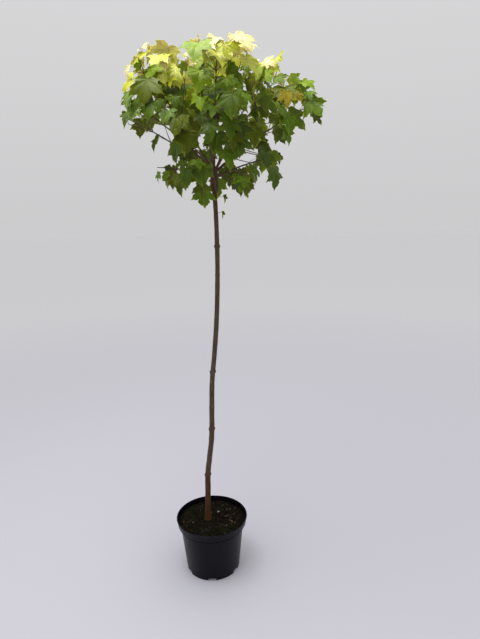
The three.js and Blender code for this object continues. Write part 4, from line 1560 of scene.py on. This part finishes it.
def litter_paint(name, color, roughness):
    paint = Paint(name, color, roughness, Specular_IOR_Level=LITTER_GLOSS)
    grain = paint.noise(*LITTER_GRAIN)
    paint.tint(paint.ramp(grain, LITTER_STOPS, shades(color, LITTER_SHADES)))
    rougher = min(1, roughness + LITTER_ROUGHNESS_VARIES)
    paint.rough(grain, roughness - LITTER_ROUGHNESS_VARIES, rougher)
    paint.bump(grain, *LITTER_BUMP)
    return paint.item


def floor_paint():
    """Matt paper, a little greyer away from the pot. Its colour carries painted light and shade: darker
    near the pot, lighter far off where it meets the backdrop.
    """
    paint = Paint("studio_floor", FLOOR_NEAR_SHADED, FLOOR_ROUGHNESS)
    reach = paint.node("ShaderNodeVectorMath", {0: paint.place()}, operation="LENGTH")
    paint.tint(paint.mix(paint.step(reach.outputs["Value"], *FLOOR_REACH), FLOOR_NEAR_SHADED, FLOOR_FAR_LIT))
    return paint.item


def trunk_relief(height, turns):
    """How far the bark stands out round a ring: bud knobs, leaf scars and a knobby head."""
    ridges = circle(BARK_RIDGES, len(turns), height * BARK_RIDGE_SCALE)
    out = BARK_RELIEF * np.array([noise.fractal(Vector(place), *BARK_FRACTAL) for place in ridges])
    for i, bud in enumerate(BUD_HEIGHTS):
        near = math.exp(-(((height - bud) / BUD_LENGTH) ** 2))
        out += near * BUD_RING
        for side in (0, math.pi):
            middle = math.radians(BUD_FIRST_ANGLE + 90 * i) + side
            gap = np.abs((turns - middle + math.pi) % (2 * math.pi) - math.pi)
            out += near * BUD_KNOB * np.exp(-((gap / BUD_WIDTH) ** 2))
    knobs = circle(HEAD_KNOBS_ROUND, len(turns), height * HEAD_KNOB_SCALE)
    return out + head_share(height) * HEAD_KNOBS * np.array([noise.noise(Vector(place)) for place in knobs])


def make_trunk(paint):
    pile = Pile()
    low = COMPOST_TOP - TRUNK_BELOW
    heights = np.arange(low, HEAD_HIGH - TRUNK_TIP, TRUNK_STEP)
    heights = np.append(heights, HEAD_HIGH - TRUNK_TIP)
    points = [trunk_middle(max(height, TRUNK_LINE[0][0])) for height in heights]
    points = [np.array([p[0], p[1], height]) for p, height in zip(points, heights)]
    radii = []
    for height in heights:
        dome = clamp((HEAD_HIGH - height) / HEAD_DOME)
        flat = math.sqrt(1 - (1 - dome) ** 2 * HEAD_DOME_SHARE)
        radii.append(trunk_radius(max(height, TRUNK_LINE[0][0])) * flat)
    add_level_tube(pile, points, radii, TRUNK_SIDES, heights)
    pile.build("trunk_bark", [paint], "bark", "trunk")


def add_level_tube(pile, points, radii, sides, heights):
    """A tube of level rings with the trunk's relief, closed at the top."""
    turns = np.arange(sides) / sides * 2 * math.pi
    rings = []
    for point, radius, height in zip(points, radii, heights):
        out = radius + trunk_relief(height, turns) * min(1, radius / HEAD_RADIUS * DOME_RELIEF)
        rings.append(point + circle(out, sides, 0))
    add_rings(pile, rings, points[-1] + UP * TRUNK_TIP, 0)


def make_bough(shoot, paint):
    pile = Pile()
    curve = Stretch(shoot.curve, 0, BOUGH_SHARE)
    points = rings_along(curve, BOUGH_STEP)
    radii = np.linspace(BOUGH_FOOT_RADIUS, STEM_FOOT_RADIUS, len(points))
    shift = shoot.seed % BOUGH_SHIFTS

    def relief(i, turns):
        around = circle(1, len(turns), i * BOUGH_RELIEF_SCALE + shift)
        rough = np.array([noise.noise(Vector(place)) for place in around])
        scar = math.exp(-(((i * BOUGH_STEP - BOUGH_SCAR_AT) / BOUGH_SCAR_LENGTH) ** 2))
        return BOUGH_RELIEF * rough + BOUGH_SCAR * scar

    add_tube(pile, points, radii, BOUGH_SIDES, 0, relief)
    pile.build("limb_" + shoot.name, [paint], "bark", "bough_" + shoot.name)


def turned_pile(profile, sides):
    """A solid of revolution; a profile point with radius 0 closes it."""
    pile = Pile()
    points = []
    starts = []
    for radius, height in profile:
        starts.append(len(points))
        if radius == 0:
            points.append((0, 0, height))
        else:
            points += list(circle(radius, sides, height))
    faces = []
    for i in range(len(profile) - 1):
        low, high = starts[i], starts[i + 1]
        if profile[i][0] == 0:
            faces += [face[::-1] for face in cap_faces(high, low, sides)]
        elif profile[i + 1][0] == 0:
            faces += cap_faces(low, high, sides)
        else:
            faces += ring_faces(low, high, sides)
    pile.add(points, faces, 0)
    return pile


def rounded(profile, radius):
    """The profile with each of its corners replaced by a small bend."""
    out = [profile[0]]
    for before, corner, after in zip(profile, profile[1:], profile[2:]):
        corner = np.array(corner, float)
        to_before = np.array(before) - corner
        to_after = np.array(after) - corner
        size = min(radius, BEND_MOST * np.hypot(*to_before), BEND_MOST * np.hypot(*to_after))
        start = corner + to_before / np.hypot(*to_before) * size
        end = corner + to_after / np.hypot(*to_after) * size
        for t in np.linspace(0, 1, BEND_STEPS + 1):
            out.append(tuple(bezier(start, corner, end, t)))
    out.append(profile[-1])
    return out


def make_pot(paint):
    inside = [
        (0, POT_FLOOR),
        (POT_FOOT_RADIUS - POT_WALL, POT_FLOOR),
        (POT_NECK_RADIUS - POT_WALL, POT_LEDGE - POT_LEDGE_RISE + POT_WALL / 2),
        (POT_COLLAR_FOOT_RADIUS - POT_WALL, POT_LEDGE + POT_WALL / 2),
        (POT_RIM_RADIUS - POT_LIP, POT_HEIGHT - POT_INSIDE_EDGE),
    ]
    outside = [
        (POT_RIM_RADIUS - POT_LIP + POT_RIM_EDGE, POT_HEIGHT),
        (POT_RIM_RADIUS - POT_RIM_EDGE, POT_HEIGHT),
        (POT_RIM_RADIUS, POT_HEIGHT - POT_RIM_EDGE),
        (POT_RIM_RADIUS, POT_HEIGHT - POT_LIP),
        (POT_RIM_RADIUS - POT_LIP + POT_WALL, POT_HEIGHT - 2 * POT_LIP),
        (POT_COLLAR_FOOT_RADIUS, POT_LEDGE),
        (POT_NECK_RADIUS, POT_LEDGE - POT_LEDGE_RISE),
        (POT_FOOT_RADIUS, POT_FOOT_EDGE),
        (POT_FOOT_RADIUS - POT_FOOT_EDGE, 0),
        (0, 0),
    ]
    pile = turned_pile(rounded(inside + outside, POT_BEND), POT_SIDES)
    pot = pile.build("nursery_pot", [paint], "pot", "pot")
    cutter = drain_slots()
    cut = pot.modifiers.new("drain slots", "BOOLEAN")
    cut.operation = "DIFFERENCE"
    cut.solver = "EXACT"
    cut.object = cutter
    graph = bpy.context.evaluated_depsgraph_get()
    made = bpy.data.meshes.new_from_object(pot.evaluated_get(graph))
    pot.modifiers.clear()
    pot.data = made
    bpy.data.objects.remove(cutter)
    made.polygons.foreach_set("use_smooth", np.ones(len(made.polygons), bool))
    made.set_sharp_from_angle(angle=math.radians(POT_SHARP))


def drain_slots():
    """Arched notches through the foot of the wall, joined in one mesh."""
    arch = DRAIN_ARCH + [(-u, v) for u, v in reversed(DRAIN_ARCH)]
    count = len(arch)
    points = []
    faces = []
    for i in range(DRAIN_SLOTS):
        out = heading((i + 0.5) / DRAIN_SLOTS * 360, 90)
        side = cross(UP, out)
        first = len(points)
        for reach in (POT_FOOT_RADIUS - DRAIN_SLOT_INSIDE, POT_FOOT_RADIUS + DRAIN_SLOT_OUTSIDE):
            for u, v in arch:
                points.append(out * reach + side * u * DRAIN_SLOT_WIDTH + UP * v * DRAIN_SLOT_HEIGHT)
        near = tuple(range(first, first + count))
        far = tuple(range(first + count, first + 2 * count))
        faces += [near[::-1], far, *ring_faces(near[0], far[0], count)]
    mesh = bpy.data.meshes.new("drain_slots")
    mesh.from_pydata((np.array(points) * MM).tolist(), [], faces)
    return add_object("drain_slots", mesh)


def compost_height(x, y):
    """The compost's surface: low humps, crumbs, and a little higher round the stem."""
    humps = noise.fractal(Vector((x * HUMP_SCALE, y * HUMP_SCALE, HUMP_LAYER)), *HUMP_FRACTAL)
    crumbs = noise.fractal(Vector((x * CRUMB_SCALE, y * CRUMB_SCALE, CRUMB_LAYER)), *CRUMB_FRACTAL)
    _, stem_x, stem_y = TRUNK_LINE[0]
    mound = math.exp(-(((x - stem_x) ** 2 + (y - stem_y) ** 2) / COMPOST_MOUND_REACH**2))
    edge = clamp((math.hypot(x, y) - COMPOST_EDGE_FROM) / COMPOST_EDGE_WIDTH) ** 2
    lift = humps * COMPOST_HUMPS + crumbs * COMPOST_CRUMBS + mound * COMPOST_MOUND
    return COMPOST_TOP + lift - edge * COMPOST_EDGE


def compost_radius(height):
    """The inside of the pot's wall at a height."""
    share = (height - POT_LEDGE) / (POT_HEIGHT - POT_LEDGE)
    wall = lerp(POT_COLLAR_FOOT_RADIUS - POT_WALL, POT_RIM_RADIUS - POT_LIP, share)
    return wall - COMPOST_CLEAR


def make_compost(paint):
    pile = Pile()
    rim = compost_radius(COMPOST_TOP)
    rings = []
    for i in range(1, COMPOST_RINGS + 1):
        ring = circle(rim * i / COMPOST_RINGS, COMPOST_SIDES, 0)
        ring[:, 2] = [compost_height(x, y) for x, y, _ in ring]
        rings.append(ring)
    rings[-1][:, :2] *= (compost_radius(rings[-1][:, 2]) / rim)[:, None]
    foot = COMPOST_TOP - COMPOST_SKIRT
    rings.append(circle(compost_radius(foot), COMPOST_SIDES, foot))
    faces = cap_faces(1, 0, COMPOST_SIDES)
    for i in range(COMPOST_RINGS):
        inner = 1 + i * COMPOST_SIDES
        faces += [(a, d, c, b) for a, b, c, d in ring_faces(inner, inner + COMPOST_SIDES, COMPOST_SIDES)]
    pile.add(np.vstack([(0, 0, compost_height(0, 0)), *rings]), faces, 0)
    pile.build("compost_surface", [paint], "compost", "compost")


def lump(draw, size, flat, divisions):
    """A rough stone or clod about a middle point: a dented ball of few faces."""
    shape = bmesh.new()
    bmesh.ops.create_icosphere(shape, subdivisions=divisions, radius=1.0)
    shift = Vector([between(draw, *LUMP_SHIFT) for _ in range(3)])
    points = []
    for vert in shape.verts:
        out = 1
        for scale, depth in LUMP_DENTS:
            out += depth * noise.noise(vert.co * scale + shift)
        points.append((vert.co.x * out, vert.co.y * out, vert.co.z * out * flat))
    faces = [tuple(v.index for v in face.verts) for face in shape.faces]
    shape.free()
    return spun(np.array(points) * size, between(draw, 0, 2 * math.pi)), faces


def laid(points, x, y, lift):
    """Points moved to a place on the compost, lifted over its surface."""
    return points + np.array([x, y, compost_height(x, y) + lift])


def in_disc(draw, radius):
    angle = between(draw, 0, 2 * math.pi)
    reach = radius * math.sqrt(draw())
    return reach * math.cos(angle), reach * math.sin(angle)


def make_clods(paints):
    pile = Pile()
    draw = random_from(LITTER_KEY, 1)
    for _ in range(CLODS):
        x, y = in_disc(draw, CLOD_REACH)
        size = between(draw, *CLOD_SIZE) * (0.5 + draw())
        points, faces = lump(draw, size, CLOD_FLAT, 1 if size < CLOD_SMALL else 2)
        kind = 0 if draw() < CLOD_DARK_SHARE else 1
        pile.add(laid(points, x, y, size * CLOD_LIFT), faces, kind)
    pile.build("compost_clods", paints, "compost")


def make_stones(paints):
    pile = Pile()
    draw = random_from(LITTER_KEY, 2)
    for x, y, size, kind in STONES:
        points, faces = lump(draw, size, STONE_FLAT, 2)
        pile.add(laid(points, x, y, size * STONE_LIFT), faces, kind)
    for _ in range(GRAINS):
        x, y = in_disc(draw, CLOD_REACH)
        size = between(draw, *GRAIN_SIZE)
        points, faces = lump(draw, size, GRAIN_FLAT, 1)
        pile.add(laid(points, x, y, size * GRAIN_LIFT), faces, 0)
    pile.build("compost_stones", paints, "compost")


def add_chip(pile, draw, x, y, length, kind):
    """A flake of bark: a thin slab lying at a slant."""
    width = length * between(draw, *CHIP_WIDTH)
    thick = max(CHIP_THINNEST, length * between(draw, *CHIP_THICKNESS))
    turn = between(draw, 0, math.pi)
    lean = math.sin(between(draw, -CHIP_LEAN, CHIP_LEAN))
    tip = math.sin(between(draw, -CHIP_TIP, CHIP_TIP))
    points = []
    for side in (-0.5, 0.5):
        for u, v in CHIP_OUTLINE:
            grow = 1 + between(draw, -CHIP_GROW, CHIP_GROW)
            a, b = u * length * grow, v * width * grow
            points.append((a, b, side * thick * between(draw, *CHIP_UNEVEN) + a * lean + b * tip))
    count = len(CHIP_OUTLINE)
    faces = [tuple(range(count))[::-1], tuple(range(count, 2 * count)), *ring_faces(0, count, count)]
    lift = (abs(lean) * length + thick) * CHIP_LIFT
    pile.add(laid(spun(points, turn), x, y, lift), faces, kind)


def make_chips(paints):
    pile = Pile()
    draw = random_from(LITTER_KEY, 3)
    for _ in range(CHIPS):
        x, y = in_disc(draw, CLOD_REACH)
        add_chip(pile, draw, x, y, between(draw, *CHIP_LENGTH), int(draw() * len(paints)))
    for middle_x, middle_y, reach, count, kind in CHIP_HEAPS:
        for _ in range(count):
            x, y = in_disc(draw, reach)
            add_chip(pile, draw, middle_x + x, middle_y + y, between(draw, *CHIP_LENGTH) * HEAP_CHIPS, kind)
    chips = pile.build("bark_chips", paints, "compost")
    chips.data.set_sharp_from_angle(angle=math.radians(CHIP_SHARP))


def make_moss(paints):
    """Cushions of moss: many short tapered shoots, thickest at the middle of each patch."""
    pile = Pile()
    draw = random_from(LITTER_KEY, 4)
    for middle_x, middle_y, reach, count in MOSS_PATCHES:
        for _ in range(count):
            x, y = in_disc(draw, reach)
            thick = math.sqrt(clamp(1 - math.hypot(x, y) / reach))
            x, y = middle_x + x, middle_y + y
            bare = noise.noise(Vector((x * MOSS_SCALE, y * MOSS_SCALE, 1))) < MOSS_BARE
            if bare or math.hypot(x, y) > CLOD_REACH:
                continue
            height = between(draw, *MOSS_HEIGHT) * (MOSS_SHORTEST + thick)
            foot = circle(MOSS_RADIUS, 3, -MOSS_SUNK, between(draw, 0, 2 * math.pi))
            tip = (*in_disc(draw, height * MOSS_LEAN), height)
            points = laid(np.vstack([foot, tip]), x, y, thick * MOSS_CUSHION)
            pile.add(points, cap_faces(0, 3, 3), int(draw() * len(paints)))
    pile.build("moss", paints, "foliage")


def make_sticks(paint):
    """Thin fallen twigs lying on the compost."""
    pile = Pile()
    for x, y, turn, length, radius in STICKS:
        line = []
        for share in np.linspace(-0.5, 0.5, STICK_RINGS):
            line.append((share * length, radius * math.sin(share * STICK_WAVES), 0))
        line = spun(line, math.radians(turn)) + np.array([x, y, 0])
        line[:, 2] = max(compost_height(px, py) for px, py, _ in line) + radius * STICK_LIFT
        radii = np.linspace(radius, radius * STICK_TAPER, STICK_RINGS)
        add_tube(pile, line, radii, STICK_SIDES, 0)
    pile.build("fallen_twigs", [paint], "compost")


def make_floor(paint):
    corners = [(x * FLOOR_HALF, y * FLOOR_HALF, 0) for x, y in ((-1, -1), (1, -1), (1, 1), (-1, 1))]
    mesh = bpy.data.meshes.new("floor")
    mesh.from_pydata(corners, [], [(0, 1, 2, 3)])
    mesh.materials.append(paint)
    floor = add_object("floor", mesh)
    floor.location.z = FLOOR_HEIGHT


def make_camera():
    data = bpy.data.cameras.new("camera")
    data.lens = CAMERA_LENS
    data.clip_end = CAMERA_FAR
    camera = add_object("camera", data)
    tilt_down = Matrix.Rotation(math.radians(90 - CAMERA_PITCH), 4, "X")
    roll = Matrix.Rotation(math.radians(-CAMERA_ROLL), 4, "Z")
    camera.matrix_world = Matrix.Translation(Vector(CAMERA_PLACE) * MM) @ tilt_down @ roll
    bpy.context.scene.camera = camera
    bpy.context.scene.view_settings.view_transform = "Standard"


def make_sky():
    """A pale backdrop, a little lighter higher up."""
    sky = bpy.data.worlds.new("studio")
    sky.use_nodes = True
    nodes, links = sky.node_tree.nodes, sky.node_tree.links
    upward = nodes.new("ShaderNodeSeparateXYZ")
    grade = nodes.new("ShaderNodeValToRGB")
    low, high = grade.color_ramp.elements
    low.color = (*SKY_LOW, 1)
    high.color = (*SKY_HIGH, 1)
    high.position = SKY_HIGH_FROM
    links.new(nodes.new("ShaderNodeTexCoord").outputs["Generated"], upward.inputs[0])
    links.new(upward.outputs[2], grade.inputs["Fac"])
    links.new(grade.outputs["Color"], nodes["Background"].inputs["Color"])
    bpy.context.scene.world = sky


def make_sun():
    data = bpy.data.lights.new("sun", "SUN")
    data.energy = SUN_STRENGTH
    data.angle = math.radians(SUN_WIDTH)
    add_object("sun", data).rotation_euler = [math.radians(turn) for turn in SUN_TURN]


def make_window():
    data = bpy.data.lights.new("window", "AREA")
    data.shape = "RECTANGLE"
    data.size, data.size_y = WINDOW_SIZE
    data.energy = WINDOW_POWER
    light = add_object("window", data)
    light.location = WINDOW_PLACE
    way = Vector(WINDOW_TARGET) - Vector(WINDOW_PLACE)
    light.rotation_euler = way.to_track_quat("-Z", "Y").to_euler()


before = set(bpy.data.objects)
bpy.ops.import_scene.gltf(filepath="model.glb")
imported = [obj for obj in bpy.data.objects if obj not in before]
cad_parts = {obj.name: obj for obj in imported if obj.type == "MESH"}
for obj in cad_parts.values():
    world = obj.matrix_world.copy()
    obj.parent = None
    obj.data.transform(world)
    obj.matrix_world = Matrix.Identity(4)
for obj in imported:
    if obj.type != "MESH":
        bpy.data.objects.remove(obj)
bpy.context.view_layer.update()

make_camera()

# The crown is grown before anything is drawn
limbs = Standing()
shoots = [Shoot(*row) for row in SHOOTS]
for shoot in shoots:
    walls = [unit(shoot.direction - other.direction) for other in shoots if other is not shoot]
    shoot.walls = np.array(walls)
limbs.add(*guard(trunk_curve, lambda share: trunk_radius(trunk_curve.point_at(share)[2]), *TRUNK_GUARD))
for shoot in shoots:
    limbs.add(*guard(Stretch(shoot.curve, 0, BOUGH_SHARE), lambda share: BOUGH_FOOT_RADIUS, *BOUGH_GUARD))
sprouts = {name: sprout_leaf(*row) for name, *row in SPROUTS}
for leaf in sprouts.values():
    leaf.young = leaf.size < LEAF_YOUNG
    limbs.add(*leaf.sketch()[1:])
for shoot in shoots:
    shoot.grow()
    for leaf in shoot.leaves:
        leaf.turn_to_light()
for leaf in sprouts.values():
    if leaf.young:
        leaf.across = leaf.across * FOLDED
        leaf.fold = 1

# Materials
leaf_paints = []
for name, *colors in TINTS:
    gloss = LEAF_GLOSS.get(name, LEAF_GLOSS_ELSE)
    for (part, roughness, veined), color in zip(LEAF_PARTS, colors):
        leaf_paints.append(leaf_paint(part + "_" + name, color, colors[1], roughness, veined, gloss))
twig_paints = [bark_paint(name, colors, *TWIG_BARK) for name, colors in TWIG_BARKS]
bough_paint = bark_paint("bough_bark", BARK_HEAD, *BOUGH_BARK)

# Crown
for number, shoot in enumerate(shoots):
    make_mass(number, shoot)
    make_bough(shoot, bough_paint)
for number, (name, leaf) in enumerate(sprouts.items()):
    blades, twigs = Pile(), Pile()
    add_leaf(blades, twigs, leaf, (SPROUT_LOOK, number))
    blades.build("foliage_" + name, leaf_paints, "foliage", name)
    twigs.build("stalk_" + name, twig_paints, "bark", name)
make_trunk(trunk_paint())

# Pot and compost
make_pot(pot_paint())
make_compost(compost_paint())
make_clods([litter_paint(*row) for row in CLOD_COLORS])
make_stones([litter_paint(*row) for row in STONE_COLORS])
make_chips([litter_paint(*row) for row in CHIP_COLORS])
make_moss([litter_paint(*row) for row in MOSS_COLORS])
make_sticks(litter_paint(*STICK_COLOR))

# Studio
make_floor(floor_paint())
make_sky()
make_sun()
make_window()
